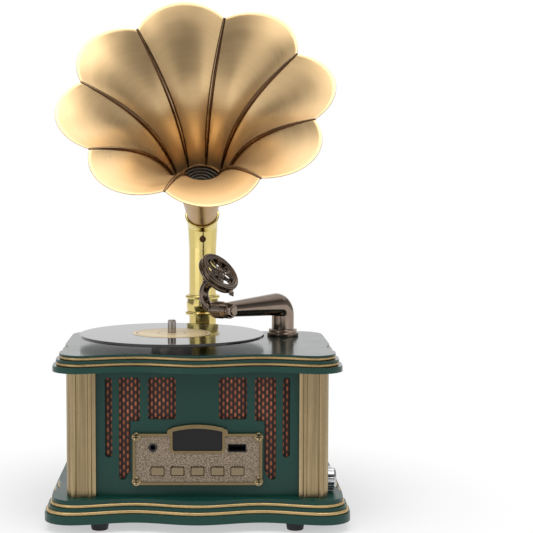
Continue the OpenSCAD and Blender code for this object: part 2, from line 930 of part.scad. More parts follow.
module tone_arm() {
  rise = arm_up - arm_flange_t - arm_step_t - seat_gap - body_gap;
  color(gunmetal)
    placed()
      arm_frame()
        difference() {
          union() {
            translate([0, 0, -rise]) cylinder(r = arm_r, h = rise - arm_bend_r);
            translate([0, 0, -arm_up - board_t - 2]) cylinder(r = arm_pin_r, h = arm_up + board_t + 2 - arm_bend_r);
            translate([0, 0, -arm_up - board_t - 5]) cylinder(r = arm_pin_r + 3, h = 1.6);
            translate([0, 0, -arm_up - board_t - 5]) cylinder(r = arm_pin_r, h = 4);
            translate([arm_bend_r, 0, -arm_bend_r])
              rotate([90, 0, 180])
                rotate_extrude(angle = 90) translate([arm_bend_r, 0]) circle(arm_r);
            translate([arm_bend_r, 0, 0])
              rotate([0, 90, 0]) cylinder(r1 = arm_r, r2 = arm_tip_r, h = arm_reach - arm_bend_r - 1);
            translate([arm_reach, 0, 0])
              rotate([90, 0, head_turn]) {
                cylinder(r = coupling_r, h = coupling_l, center = true);
                for (i = [0 : 3])
                  translate([0, 0, coupling_l / 2 - 1.1 - i * 1.9]) rotate_extrude() translate([coupling_r - 0.2, 0]) circle(0.7);
              }
          }
          translate([arm_reach, 0, 0])
            rotate([90, 0, head_turn]) cylinder(r = hinge_pin_r + shaft_gap, h = coupling_l + 2, center = true);
        }
}

module gooseneck() {
  color(gunmetal)
    placed()
      head_frame() {
        rotate([0, 90, 0]) cylinder(r = hinge_pin_r, h = coupling_l + 6, center = true);
        translate([-coupling_l / 2 - body_gap, 0, 0])
          rotate([0, -90, 0]) {
            cylinder(r = coupling_r - 0.4, h = 1.4);
            translate([0, 0, 1.4]) cylinder(r1 = coupling_r - 0.8, r2 = neck_tube_r, h = 2.4);
          }
        translate(neck_middle)
          rotate([90, 0, 0])
            rotate([0, 0, 90 + neck_rise])
              rotate_extrude(angle = neck_sweep) translate([neck_bend_r, 0]) circle(neck_tube_r);
        translate(neck_end_point)
          rotate([0, 90 - neck_rise, 0]) {
            cylinder(r = neck_tube_r, h = neck_stub - seat_gap);
            translate([0, 0, -0.8]) cylinder(r = neck_tube_r + 0.4, h = 1.6);
          }
      }
}

module gooseneck_nut() {
  color(gunmetal)
    placed()
      head_frame()
        translate([coupling_l / 2 + body_gap, 0, 0])
          rotate([0, 90, 0])
            difference() {
              union() {
                cylinder(r = coupling_r, h = 1.4);
                translate([0, 0, 1.4]) cylinder(r = coupling_r - 0.9, h = 2.6, $fn = 6);
                translate([0, 0, 4]) cylinder(r = 3.4, h = 1);
              }
              translate([0, 0, -1]) cylinder(r = hinge_pin_r + 0.02, h = 4.2);
            }
}

box_wall = 2.2;
module sound_box() {
  color(gunmetal)
    placed()
      box_frame() {
        difference() {
          cylinder(r = box_r - 0.8, h = box_t - 1, center = true);
          translate([0, 0, -box_t]) cylinder(r = box_r - box_wall - 1.1, h = 2 * box_t);
        }
        for (z = [-1, 1])
          translate([0, 0, z * (box_t / 2 - 1.55)]) rotate_extrude() translate([box_r - 1.55, 0]) circle(1.55);
        for (a = [60 : 60 : 180])
          rotate([0, 0, a]) translate([0, 0, -box_t / 2 + 1.2]) cube([2 * (box_r - 2), 2.4, 1.6], center = true);
        translate([0, 0, -box_t / 2]) cylinder(r = neck_tube_r + 1.6, h = 2);
      }
}

module sound_box_cover() {
  inner = box_r - box_wall - 1.15;
  color(gunmetal)
    placed()
      box_frame()
        translate([0, 0, 1.2]) {
          difference() {
            cylinder(r = inner, h = 1.6);
            translate([0, 0, -1]) cylinder(r = inner - 1.2, h = 4);
          }
          cylinder(r = 3.6, h = 2.6);
          for (a = [0 : 45 : 315])
            rotate([0, 0, a + 22.5]) translate([2, -0.7, 0]) cube([inner - 2.6, 1.4, 1.4]);
          difference() {
            cylinder(r = 7.4, h = 1.4);
            translate([0, 0, -1]) cylinder(r = 6.2, h = 4);
          }
        }
}

module needle() {
  color(gunmetal)
    placed()
      box_frame()
        translate([box_r + 0.3, 0, 0]) {
          rotate([0, 90, 0]) cylinder(r = 1.9, h = 2.6);
          translate([2.6, 0, 0]) rotate([0, 90, 0]) cylinder(r1 = 1.2, r2 = 0.5, h = 1.8);
        }
}

bracket_plate_t = 3;
module horn_bracket() {
  top = shelf_z + shelf_t;
  color(gunmetal)
    placed()
      difference() {
        union() {
          translate([column_x - bracket_half_w, rear_y + seat_gap, board_z - 52]) cube([2 * bracket_half_w, bracket_plate_t, 52 - 12 + shelf_t]);
          translate([column_x - bracket_half_w, rear_y + seat_gap, shelf_z]) cube([2 * bracket_half_w, column_y - rear_y, shelf_t]);
          translate([column_x, column_y, shelf_z]) cylinder(r = bracket_back, h = shelf_t);
          translate([column_x - 2, rear_y + bracket_plate_t, shelf_z])
            rotate([90, 0, 90])
              linear_extrude(4) polygon([[0, 0], [column_y - rear_y - 14, 0], [0, -30]]);
        }
        for (p = bracket_screw_places)
          translate([p[0], rear_y + 5, p[1]]) rotate([90, 0, 0]) cylinder(r = 2.1, h = 6);
        translate([column_x, column_y, shelf_z - 1]) cylinder(r = 4.1, h = 6);
      }
}

module horn_column() {
  low = shelf_z + shelf_t + seat_gap;
  top = ring_1_z + 1.6;
  color(brass)
    placed()
      translate([column_x, column_y, 0])
        difference() {
          union() {
            translate([0, 0, low]) cylinder(r = column_r, h = top - low);
            translate([0, 0, low]) cylinder(r = spigot_r, h = sleeve_screw_z + 5 - low);
            translate([0, 0, low]) cylinder(r = column_ring_r, h = 2.5);
            translate([0, 0, low + 2.5]) cylinder(r1 = column_ring_r - 1, r2 = column_r, h = 5);
            for (z = [ring_1_z, ring_2_z]) {
              translate([0, 0, z]) rotate_extrude() translate([column_ring_r - 1.6, 0]) circle(1.6);
              translate([0, 0, z - 1]) cylinder(r = column_ring_r - 1.4, h = 2);
            }
            translate([0, 0, (ring_1_z + ring_2_z) / 2])
              rotate_extrude()
                intersection() {
                  translate([column_ring_r - 22.2, 0]) circle(21);
                  translate([0, -5.6]) square([20, 11.2]);
                }
          }
          translate([0, 0, low - 1]) cylinder(r = 4.05, h = 12);
          translate([0, 0, low + 14]) cylinder(r = spigot_r - tube_wall, h = 100);
        }
}

module horn_sleeve() {
  low = ring_1_z + 1.6 + seat_gap;
  flare_z = elbow_z - 22;
  bore = spigot_r + seat_gap;
  color(brass)
    placed()
      difference() {
        union() {
          translate([column_x, column_y, 0]) {
            translate([0, 0, low]) cylinder(r = column_r, h = flare_z - low);
            translate([0, 0, flare_z]) cylinder(r1 = column_r, r2 = sleeve_top_r, h = elbow_z - flare_z);
          }
          translate(elbow_tip) sphere(sleeve_top_r);
          horn_axis() {
            cylinder(r1 = sleeve_top_r, r2 = collar_r - 0.6, h = collar_reach);
            translate([0, 0, collar_reach]) rotate_extrude() translate([collar_r - 1, 0]) circle(1);
          }
        }
        translate([column_x, column_y, low - 1]) cylinder(r = bore, h = elbow_z - low + 1);
        translate(elbow_tip) sphere(bore);
        horn_axis() cylinder(r = bore, h = collar_reach + 2);
        translate([column_x, column_y, sleeve_screw_z]) rotate([90, 0, 0]) cylinder(r = 1.6, h = 20);
      }
}

sleeve_screw_z = elbow_z - 13;
module sleeve_screw() {
  color(brass)
    placed()
      translate([column_x, column_y - spigot_r - seat_gap, sleeve_screw_z])
        rotate([90, 0, 0]) {
          cylinder(r = 1.5, h = 3.6);
          translate([0, 0, 2.9]) cylinder(r = 2.8, h = 1.6);
        }
}

neck_end = petal_start - 0.25;
module horn_neck() {
  steps = 14;
  first = -horn_reach + collar_reach + 1 + seat_gap;
  inner_first = first + 1.5;
  color(gold)
    placed()
      horn_axis()
        translate([0, 0, horn_reach])
          rotate_extrude()
            polygon(concat(
              [[spigot_r - 1.2, first - 5], [spigot_r, first - 5]],
              [[spigot_r, first]],
              [for (i = [0 : steps]) let (t = first + (neck_end - first) * i / steps) [seam_r(t) + 0.6, t]],
              [for (i = [steps : -1 : 0]) let (t = inner_first + (neck_end - inner_first) * i / steps) [seam_r(t) - 0.8, t]],
              [[spigot_r - 1.2, inner_first]]
            ));
}

throat_depth = 4;
module throat_insert() {
  r = seam_r(neck_end - throat_depth) - 0.8 - seat_gap;
  color(black)
    placed()
      horn_axis()
        translate([0, 0, horn_reach + neck_end - throat_depth])
          difference() {
            union() {
              cylinder(r = r, h = 2);
              for (ring = [r - 1.3, r - 4.6, r - 7.9, r - 11]) translate([0, 0, 2]) rotate_extrude() translate([ring, 0]) circle(1.2);
            }
            translate([0, 0, -1]) cylinder(r = 3, h = 6);
          }
}

// One petal as a closed sheet: an inner and an outer grid of points joined round their edges
module petal() {
  across = petal_cols + 1;
  sheet = (petal_rows + 1) * across;
  points = [
    for (out = [0, petal_t])
      for (i = [0 : petal_rows])
        for (j = [0 : petal_cols])
          petal_point(i / petal_rows, 2 * j / petal_cols - 1, out)
  ];
  function at(s, i, j) = s * sheet + i * across + j;
  function quad(a, b, c, d) = [[a, b, c], [a, c, d]];
  faces = concat(
    [for (i = [0 : petal_rows - 1]) for (j = [0 : petal_cols - 1])
      each quad(at(0, i, j), at(0, i, j + 1), at(0, i + 1, j + 1), at(0, i + 1, j))],
    [for (i = [0 : petal_rows - 1]) for (j = [0 : petal_cols - 1])
      each quad(at(1, i, j), at(1, i + 1, j), at(1, i + 1, j + 1), at(1, i, j + 1))],
    [for (i = [0 : petal_rows - 1]) each quad(at(0, i, 0), at(0, i + 1, 0), at(1, i + 1, 0), at(1, i, 0))],
    [for (i = [0 : petal_rows - 1])
      each quad(at(0, i, petal_cols), at(1, i, petal_cols), at(1, i + 1, petal_cols), at(0, i + 1, petal_cols))],
    [for (j = [0 : petal_cols - 1]) each quad(at(0, 0, j), at(1, 0, j), at(1, 0, j + 1), at(0, 0, j + 1))],
    [for (j = [0 : petal_cols - 1])
      each quad(at(0, petal_rows, j), at(0, petal_rows, j + 1), at(1, petal_rows, j + 1), at(1, petal_rows, j))]
  );
  polyhedron(points, faces);
}

module petal_group(places) {
  color(gold)
    placed()
      horn_axis()
        translate([0, 0, horn_reach])
          for (k = places) rotate([0, 0, petal_turn + k * 360 / petals]) petal();
}

module horn_petals_upper() {
  petal_group([0 : 3]);
}

module horn_petals_lower() {
  petal_group([4 : 7]);
}

module horn_seams() {
  n = 16;
  color([0.4, 0.28, 0.18])
    placed()
      horn_axis()
        translate([0, 0, horn_reach])
          for (k = [0 : petals - 1])
            rotate([0, 0, petal_turn + (k + 0.5) * 360 / petals])
              rotate([90, 0, 0])
                linear_extrude(seam_w, center = true)
                  polygon(concat(
                    [for (i = [0 : n]) let (t = petal_start - petal_start * i / n) seam_edge(t, petal_t + 0.4)],
                    [for (i = [n : -1 : 0]) let (t = petal_start - petal_start * i / n)
                      seam_edge(t, -seam_h * sin(180 * (0.06 + 0.88 * i / n)))]
                  ));
}

function seam_edge(t, out) = let (g = slope(t), n = sqrt(1 + g * g)) [seam_r(t) + out / n, t - out * g / n];

module volume_knob() {
  color(steel)
    placed()
      translate([side_x + body_gap, knob_y, knob_z])
        rotate([0, 90, 0])
          difference() {
            union() {
              cylinder(r = knob_r - 0.5, h = knob_l - 1.5);
              for (a = [0 : 20 : 340])
                rotate([0, 0, a]) translate([knob_r - 0.7, 0, 0]) cylinder(r = 0.7, h = knob_l - 1.5);
              translate([0, 0, knob_l - 1.5]) cylinder(r1 = knob_r - 0.5, r2 = knob_r - 2.4, h = 1.5);
            }
            translate([0, 0, -1]) cylinder(r = knob_shaft_r + 0.02, h = knob_l - 1);
          }
}

module knob_shaft() {
  color(steel)
    placed()
      translate([side_x - panel_t - 7, knob_y, knob_z])
        rotate([0, 90, 0]) cylinder(r = knob_shaft_r, h = 7 + panel_t + body_gap + knob_l - 2.1);
}

module knob_encoder() {
  color(steel)
    placed()
      translate([side_x - panel_t, knob_y, knob_z])
        rotate([0, 90, 0])
          difference() {
            union() {
              translate([-6, -6, -9 - seat_gap]) cube([12, 12, 9]);
              translate([0, 0, -1]) cylinder(r = 3.9, h = panel_t + 1);
            }
            translate([0, 0, -7.4]) cylinder(r = knob_shaft_r + shaft_gap, h = 12);
          }
}

plinth();
plinth_beads();
side_panel_left();
side_panel_right();
front_panel();
rear_panel();
pilaster_left();
pilaster_right();
rear_posts();
top_board();
board_beads();
grille_cloth();
speaker_baffle();
speaker_left();
speaker_right();
speaker_screws();
control_plate();
plate_screws();
display_lens();
display_module();
button_1();
button_2();
button_3();
button_4();
button_5();
button_board();
usb_port();
aux_jack();
main_board();
battery_pack();
rear_screws();
power_switch();
power_slider();
charge_port();
feet();
foot_screws();
record();
record_label();
spindle();
platter_bearing();
platter_motor();
arm_base();
tone_arm();
gooseneck();
gooseneck_nut();
sound_box();
sound_box_cover();
needle();
horn_bracket();
horn_column();
horn_sleeve();
sleeve_screw();
horn_neck();
throat_insert();
horn_petals_upper();
horn_petals_lower();
horn_seams();
volume_knob();
knob_shaft();
knob_encoder();
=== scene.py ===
import math

import bpy
from mathutils import Matrix, Vector


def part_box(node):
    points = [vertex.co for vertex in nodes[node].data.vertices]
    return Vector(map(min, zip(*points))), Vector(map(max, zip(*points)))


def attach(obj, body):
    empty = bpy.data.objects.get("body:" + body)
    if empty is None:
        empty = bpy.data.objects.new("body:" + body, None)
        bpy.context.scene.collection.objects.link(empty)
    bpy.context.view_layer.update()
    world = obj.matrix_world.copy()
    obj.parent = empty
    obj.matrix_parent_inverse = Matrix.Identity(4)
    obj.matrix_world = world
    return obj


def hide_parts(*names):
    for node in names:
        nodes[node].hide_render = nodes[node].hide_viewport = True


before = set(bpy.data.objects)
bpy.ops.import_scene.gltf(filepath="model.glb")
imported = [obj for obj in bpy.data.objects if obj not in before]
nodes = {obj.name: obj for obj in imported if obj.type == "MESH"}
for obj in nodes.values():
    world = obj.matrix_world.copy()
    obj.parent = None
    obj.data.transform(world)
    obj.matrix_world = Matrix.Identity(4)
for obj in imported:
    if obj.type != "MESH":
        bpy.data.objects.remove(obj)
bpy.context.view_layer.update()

MM = 0.001

# Sizes in millimetres. Places are counted from the cabinet's centre and from the ground.
RECORD_LEFT = 19.7
FOOT_H = 4.5
PLATE_Z = 48.8
PLATE_FIELD_X, PLATE_FIELD_Z = 45.6, 17.4
PLATE_SCREW_X, PLATE_SCREW_Z = 44.5, 16.3
CLOTH_HOLE_X, CLOTH_HOLE_Z = 40, 14
DASH_W, DASH_H = 2.9, 5.5
GROOVE_PITCH, BAND_PITCH = 0.45, 9.7
LABEL_R = 30

# Camera, fitted to the photograph. The lens and the shift are for a sensor 36 mm wide.
CAMERA_Y, CAMERA_Z, CAMERA_TILT = -1039, 257, 4
LENS, SENSOR_W, SHIFT_X = 91.66, 36, 0.1295



# Where things stand, read from the solids

def middle(node):
    low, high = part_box(node)
    return (Vector(low) + Vector(high)) / 2


record_centre = middle("record")
plinth_floor = Vector(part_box("plinth")[0])
SHIFT = Vector((record_centre.x + RECORD_LEFT * MM, record_centre.y, plinth_floor.z - FOOT_H * MM))


def spot(x, y, z):
    """A point given in millimetres from the cabinet's centre."""
    return SHIFT + Vector((x, y, z)) * MM


# Hand tools

def only(piece):
    bpy.ops.object.select_all(action="DESELECT")
    piece.select_set(True)
    bpy.context.view_layer.objects.active = piece


def nobody():
    bpy.ops.object.select_all(action="DESELECT")
    bpy.context.view_layer.objects.active = None


def editing(piece):
    only(piece)
    bpy.ops.object.mode_set(mode="EDIT")
    bpy.ops.mesh.select_all(action="SELECT")


def editing_selected(piece):
    """Edit mode with the faces that code has picked, and no others."""
    only(piece)
    bpy.ops.object.mode_set(mode="EDIT")
    bpy.ops.mesh.select_mode(type="FACE")


def done_editing():
    bpy.ops.object.mode_set(mode="OBJECT")


def named(name):
    piece = bpy.context.object
    piece.name = name
    piece.data.name = name
    return piece


def settle(piece):
    only(piece)
    bpy.ops.object.transform_apply(location=True, rotation=True, scale=True)


def joined(pieces, name):
    nobody()
    for piece in pieces:
        piece.select_set(True)
    bpy.context.view_layer.objects.active = pieces[0]
    bpy.ops.object.join()
    return named(name)


def ring(name, major, minor, places=64, around=14):
    nobody()
    bpy.ops.mesh.primitive_torus_add(major_radius=major * MM, minor_radius=minor * MM,
                                     major_segments=places, minor_segments=around)
    return named(name)


def modify(piece, kind, **settings):
    only(piece)
    modifier = piece.modifiers.new(kind.lower(), kind)
    for key, value in settings.items():
        setattr(modifier, key, value)
    bpy.ops.object.modifier_apply(modifier=modifier.name)


def shade(piece, angle, weighted=True):
    only(piece)
    bpy.ops.object.shade_smooth_by_angle(angle=math.radians(angle))
    if weighted:
        modify(piece, "WEIGHTED_NORMAL", keep_sharp=True, mode="FACE_AREA", weight=100)


def copied(node, name):
    """A cleaned copy of a solid's mesh, ready to be worked on."""
    mesh = nodes[node].data.copy()
    mesh.materials.clear()
    piece = bpy.data.objects.new(name, mesh)
    mesh.name = name
    bpy.context.scene.collection.objects.link(piece)
    only(piece)
    bpy.ops.mesh.customdata_custom_splitnormals_clear()
    editing(piece)
    bpy.ops.mesh.remove_doubles(threshold=2e-6)
    bpy.ops.mesh.dissolve_limited(angle_limit=math.radians(0.6))
    done_editing()
    return piece


def mark_folds(piece):
    """Keeps, face by face, where an edge was eased: 1 on an outer edge, -1 in an inner corner."""
    faces = piece.data.polygons
    beside = {}
    for face in faces:
        for key in face.edge_keys:
            beside.setdefault(key, []).append(face.index)
    folds = piece.data.attributes.new("fold", "FLOAT", "FACE")
    for face in faces:
        if face.material_index == 0:
            continue
        rise = 0
        for key in face.edge_keys:
            for other in beside[key]:
                rise += face.normal.dot(faces[other].center - face.center)
        folds.data[face.index].value = 1 if rise < 0 else -1
    for face in faces:
        face.material_index = 0


def two_slots(piece):
    """Two empty slots, so that the bevel's new faces can be told by the second."""
    piece.data.materials.append(None)
    piece.data.materials.append(None)
    for face in piece.data.polygons:
        face.material_index = 0


def softened(node, name, width, segments, angle=35):
    """A copy of a solid with its sharp edges eased."""
    piece = copied(node, name)
    two_slots(piece)
    modify(piece, "BEVEL", width=width * MM, segments=segments, limit_method="ANGLE",
           angle_limit=math.radians(35), use_clamp_overlap=True, material=1)
    mark_folds(piece)
    shade(piece, angle)
    return piece


def moulded(node, name, below, width):
    """A moulded board: its lowest edge is turned to a full round, the other edges are eased."""
    piece = copied(node, name)
    two_slots(piece)
    floor = min(point.co.z for point in piece.data.vertices)
    beside = {}
    for face in piece.data.polygons:
        for key in face.edge_keys:
            beside.setdefault(key, []).append(face.normal)
    weights = piece.data.attributes.new("bevel_weight_edge", "FLOAT", "EDGE")
    points = piece.data.vertices
    for edge in piece.data.edges:
        sides = beside.get(edge.key, [])
        if len(sides) != 2 or sides[0].angle(sides[1], 0) < math.radians(40):
            continue
        # The full round goes to the lowest edges that lie more than 60 mm from the centre
        low = max(points[one].co.z for one in edge.vertices) < floor + 0.1 * MM
        start = points[edge.vertices[0]].co - SHIFT
        outer = max(abs(start.x), abs(start.y))
        weights.data[edge.index].value = 1.0 if low and outer > 60 * MM else width / below
    modify(piece, "BEVEL", width=below * MM, segments=4, limit_method="WEIGHT", use_clamp_overlap=True,
           material=1)
    mark_folds(piece)
    shade(piece, 35)
    return piece


def dress(piece, body, material, slot, *replaced):
    piece.data.materials.clear()
    for one in material if isinstance(material, (list, tuple)) else [material]:
        piece.data.materials.append(one)
    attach(piece, body)
    if replaced:
        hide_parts(*replaced)
    return piece


def fitted(node, name, width, segments, body, material, slot, angle=35):
    """A softened copy in its finish, put in the place of its solid."""
    return dress(softened(node, name, width, segments, angle), body, material, slot, node)


# Colours and the shader groups that several finishes share

def tint(red, green, blue):
    def linear(value):
        value /= 255
        return value / 12.92 if value <= 0.04045 else ((value + 0.055) / 1.055) ** 2.4
    return (linear(red), linear(green), linear(blue), 1)


def group(name, inputs, outputs):
    tree = bpy.data.node_groups.new(name, "ShaderNodeTree")
    for label, kind, value in inputs:
        socket = tree.interface.new_socket(name=label, in_out="INPUT", socket_type=kind)
        if value is not None:
            socket.default_value = value
    for label, kind in outputs:
        tree.interface.new_socket(name=label, in_out="OUTPUT", socket_type=kind)
    return tree, tree.nodes.new("NodeGroupInput"), tree.nodes.new("NodeGroupOutput")


FLOAT = "NodeSocketFloat"
VECTOR = "NodeSocketVector"


def feed(tree, value, socket):
    """Sets a socket to a number or colour, or links another node's output to it."""
    if isinstance(value, (int, float, tuple)):
        socket.default_value = value
    else:
        tree.links.new(value, socket)


def noise(tree, vector, scale, detail, rough):
    node = tree.nodes.new("ShaderNodeTexNoise")
    feed(tree, vector, node.inputs["Vector"])
    feed(tree, scale, node.inputs["Scale"])
    node.inputs["Detail"].default_value = detail
    node.inputs["Roughness"].default_value = rough
    return node.outputs[0]


def maths(tree, operation, first, second=None, clamp=False):
    node = tree.nodes.new("ShaderNodeMath")
    node.operation = operation
    node.use_clamp = clamp
    feed(tree, first, node.inputs[0])
    if second is not None:
        feed(tree, second, node.inputs[1])
    return node.outputs[0]


def shared(tree, first, part, second):
    """A part of the first value and the rest of the second."""
    return maths(tree, "ADD", maths(tree, "MULTIPLY", first, part),
                 maths(tree, "MULTIPLY", second, 1 - part))


def apart(tree, value, middle_value):
    """How far a value lies from a middle value."""
    return maths(tree, "ABSOLUTE", maths(tree, "SUBTRACT", value, middle_value))


def ranged(tree, value, low, high, to_low, to_high):
    node = tree.nodes.new("ShaderNodeMapRange")
    labels = ("Value", "From Min", "From Max", "To Min", "To Max")
    for label, setting in zip(labels, (value, low, high, to_low, to_high)):
        feed(tree, setting, node.inputs[label])
    return node.outputs["Result"]


def mixed(tree, share, first, second):
    node = tree.nodes.new("ShaderNodeMix")
    node.data_type = "RGBA"
    colours = [one for one in node.inputs if one.type == "RGBA"]
    feed(tree, share, node.inputs[0])
    feed(tree, first, colours[0])
    feed(tree, second, colours[1])
    return [one for one in node.outputs if one.type == "RGBA"][0]


def length_of(tree, vector):
    node = tree.nodes.new("ShaderNodeVectorMath")
    node.operation = "LENGTH"
    tree.links.new(vector, node.inputs[0])
    return node.outputs["Value"]


def axes_of(tree, vector):
    node = tree.nodes.new("ShaderNodeSeparateXYZ")
    tree.links.new(vector, node.inputs[0])
    return node.outputs


def make_handling():
    """Uneven gloss from handling: broad smudges, fine specks and a slight bump."""
    tree, into, out = group(
        "handling",
        [("Vector", VECTOR, None), ("Smudge Scale", FLOAT, 30.0), ("Speck Scale", FLOAT, 900.0),
         ("Low", FLOAT, 0.3), ("High", FLOAT, 0.45)],
        [("Roughness", FLOAT), ("Shade", FLOAT), ("Height", FLOAT)])
    broad = noise(tree, into.outputs["Vector"], into.outputs["Smudge Scale"], 4, 0.6)
    fine = noise(tree, into.outputs["Vector"], into.outputs["Speck Scale"], 3, 0.6)
    both = shared(tree, broad, 0.7, fine)
    tree.links.new(ranged(tree, both, 0.3, 0.7, into.outputs["Low"], into.outputs["High"]),
                   out.inputs["Roughness"])
    tree.links.new(both, out.inputs["Shade"])
    tree.links.new(fine, out.inputs["Height"])
    return tree


def make_brushing():
    """Fine lines left by a brush: the vector is stretched along the stroke."""
    tree, into, out = group(
        "brushing",
        [("Vector", VECTOR, None), ("Fine", FLOAT, 1.0), ("Broad", FLOAT, 0.12), ("Contrast", FLOAT, 0.5)],
        [("Shade", FLOAT), ("Height", FLOAT)])
    fine = noise(tree, into.outputs["Vector"], into.outputs["Fine"], 4, 0.65)
    broad = noise(tree, into.outputs["Vector"], into.outputs["Broad"], 2, 0.5)
    centred = maths(tree, "SUBTRACT", shared(tree, fine, 0.6, broad), 0.5)
    stronger = maths(tree, "MULTIPLY", centred, into.outputs["Contrast"])
    tree.links.new(maths(tree, "ADD", stronger, 0.5, clamp=True), out.inputs["Shade"])
    tree.links.new(fine, out.inputs["Height"])
    return tree


def make_edge_wear_highlight_and_hollow_shade():
    """A mask for outer edges and one for hollows, told by how pointed the mesh is there. The finishes put
    wear and a painted highlight on the edges and painted shade in the hollows.
    """
    tree, into, out = group(
        "edge_wear_highlight_and_hollow_shade",
        [("Vector", VECTOR, None), ("Break Up", FLOAT, 300.0), ("From", FLOAT, 0.52), ("To", FLOAT, 0.6)],
        [("Edge", FLOAT), ("Hollow", FLOAT)])
    shape = tree.nodes.new("ShaderNodeNewGeometry")
    patchy = noise(tree, into.outputs["Vector"], into.outputs["Break Up"], 3, 0.6)
    lift = maths(tree, "MULTIPLY", maths(tree, "SUBTRACT", patchy, 0.5), 0.02)
    sharp = maths(tree, "ADD", shape.outputs["Pointiness"], lift)
    tree.links.new(ranged(tree, sharp, into.outputs["From"], into.outputs["To"], 0.0, 1.0),
                   out.inputs["Edge"])
    tree.links.new(ranged(tree, sharp, 0.42, 0.49, 1.0, 0.0), out.inputs["Hollow"])
    return tree


def make_fold_wear_highlight_and_corner_shade():
    """A mask for eased edges, broken up by noise, and one for inner corners. The finishes put wear and a
    painted highlight on the edges and painted shade in the corners.
    """
    tree, into, out = group(
        "fold_wear_highlight_and_corner_shade",
        [("Vector", VECTOR, None), ("Break Up", FLOAT, 300.0)],
        [("Edge", FLOAT), ("Hollow", FLOAT)])
    fold = tree.nodes.new("ShaderNodeAttribute")
    fold.attribute_name = "fold"
    patchy = noise(tree, into.outputs["Vector"], into.outputs["Break Up"], 3, 0.6)
    share = ranged(tree, patchy, 0.3, 0.65, 0.15, 1.0)
    tree.links.new(maths(tree, "MULTIPLY", maths(tree, "MAXIMUM", fold.outputs["Fac"], 0.0), share),
                   out.inputs["Edge"])
    tree.links.new(maths(tree, "MAXIMUM", maths(tree, "MULTIPLY", fold.outputs["Fac"], -1.0), 0.0),
                   out.inputs["Hollow"])
    return tree


HANDLING = make_handling()
BRUSHING = make_brushing()
POINTED_EDGE_WEAR_AND_HOLLOW_SHADE = make_edge_wear_highlight_and_hollow_shade()
FOLD_EDGE_WEAR_AND_CORNER_SHADE = make_fold_wear_highlight_and_corner_shade()


class Finish:
    """One material with its shader, its coordinates and short ways to place groups in it."""

    def __init__(self, name, rough, metal=0.0, **sockets):
        self.material = bpy.data.materials.new(name)
        self.material.use_nodes = True
        self.tree = self.material.node_tree
        self.shader = self.tree.nodes["Principled BSDF"]
        self.shader.inputs["Roughness"].default_value = rough
        self.shader.inputs["Metallic"].default_value = metal
        for label, value in sockets.items():
            self.shader.inputs[label.replace("_", " ")].default_value = value
        self.place = self.tree.nodes.new("ShaderNodeTexCoord")

    def spread(self, scale=(1, 1, 1), source="Object", location=(0, 0, 0)):
        node = self.tree.nodes.new("ShaderNodeMapping")
        node.inputs["Scale"].default_value = scale
        node.inputs["Location"].default_value = location
        self.tree.links.new(self.place.outputs[source], node.inputs["Vector"])
        return node.outputs["Vector"]

    def use(self, tree, vector, **values):
        node = self.tree.nodes.new("ShaderNodeGroup")
        node.node_tree = tree
        self.tree.links.new(vector, node.inputs["Vector"])
        for label, value in values.items():
            node.inputs[label.replace("_", " ")].default_value = value
        return node.outputs

    def colour(self, socket):
        self.tree.links.new(socket, self.shader.inputs["Base Color"])

    def rough(self, socket):
        self.tree.links.new(socket, self.shader.inputs["Roughness"])

    def bump(self, height, distance, strength=1.0):
        node = self.tree.nodes.new("ShaderNodeBump")
        node.inputs["Distance"].default_value = distance * MM
        node.inputs["Strength"].default_value = strength
        self.tree.links.new(height, node.inputs["Height"])
        self.tree.links.new(node.outputs["Normal"], self.shader.inputs["Normal"])


def painted(name, base, deep, rough, low, high, coat, gloss=0.5, orange_peel=0.02):
    """Sprayed colour: broad tone changes, faint orange peel, edges paler from wear and a painted
    highlight, and painted shade in inner corners.
    """
    paint = Finish(name, rough, Coat_Weight=coat, Coat_Roughness=0.12, Specular_IOR_Level=gloss)
    tree = paint.tree
    vector = paint.spread()
    feel = paint.use(HANDLING, vector, Smudge_Scale=28.0, Speck_Scale=650.0, Low=low, High=high)
    edges = paint.use(FOLD_EDGE_WEAR_AND_CORNER_SHADE, vector, Break_Up=420.0)
    pale = tuple(min(1, value * 1.6 + 0.01) for value in base[:3]) + (1,)
    hollow_shade = tuple(value * 0.45 for value in deep[:3]) + (1,)
    tone = mixed(tree, feel["Shade"], deep, base)
    # Paler eased edges: partly wear, partly a painted highlight
    tone = mixed(tree, maths(tree, "MULTIPLY", edges["Edge"], 0.35), tone, pale)
    # Darker inner corners: painted shade
    tone = mixed(tree, maths(tree, "MULTIPLY", edges["Hollow"], 0.55), tone, hollow_shade)
    paint.colour(tone)
    paint.rough(feel["Roughness"])
    paint.bump(noise(tree, vector, 480, 2, 0.5), orange_peel)
    return paint.material


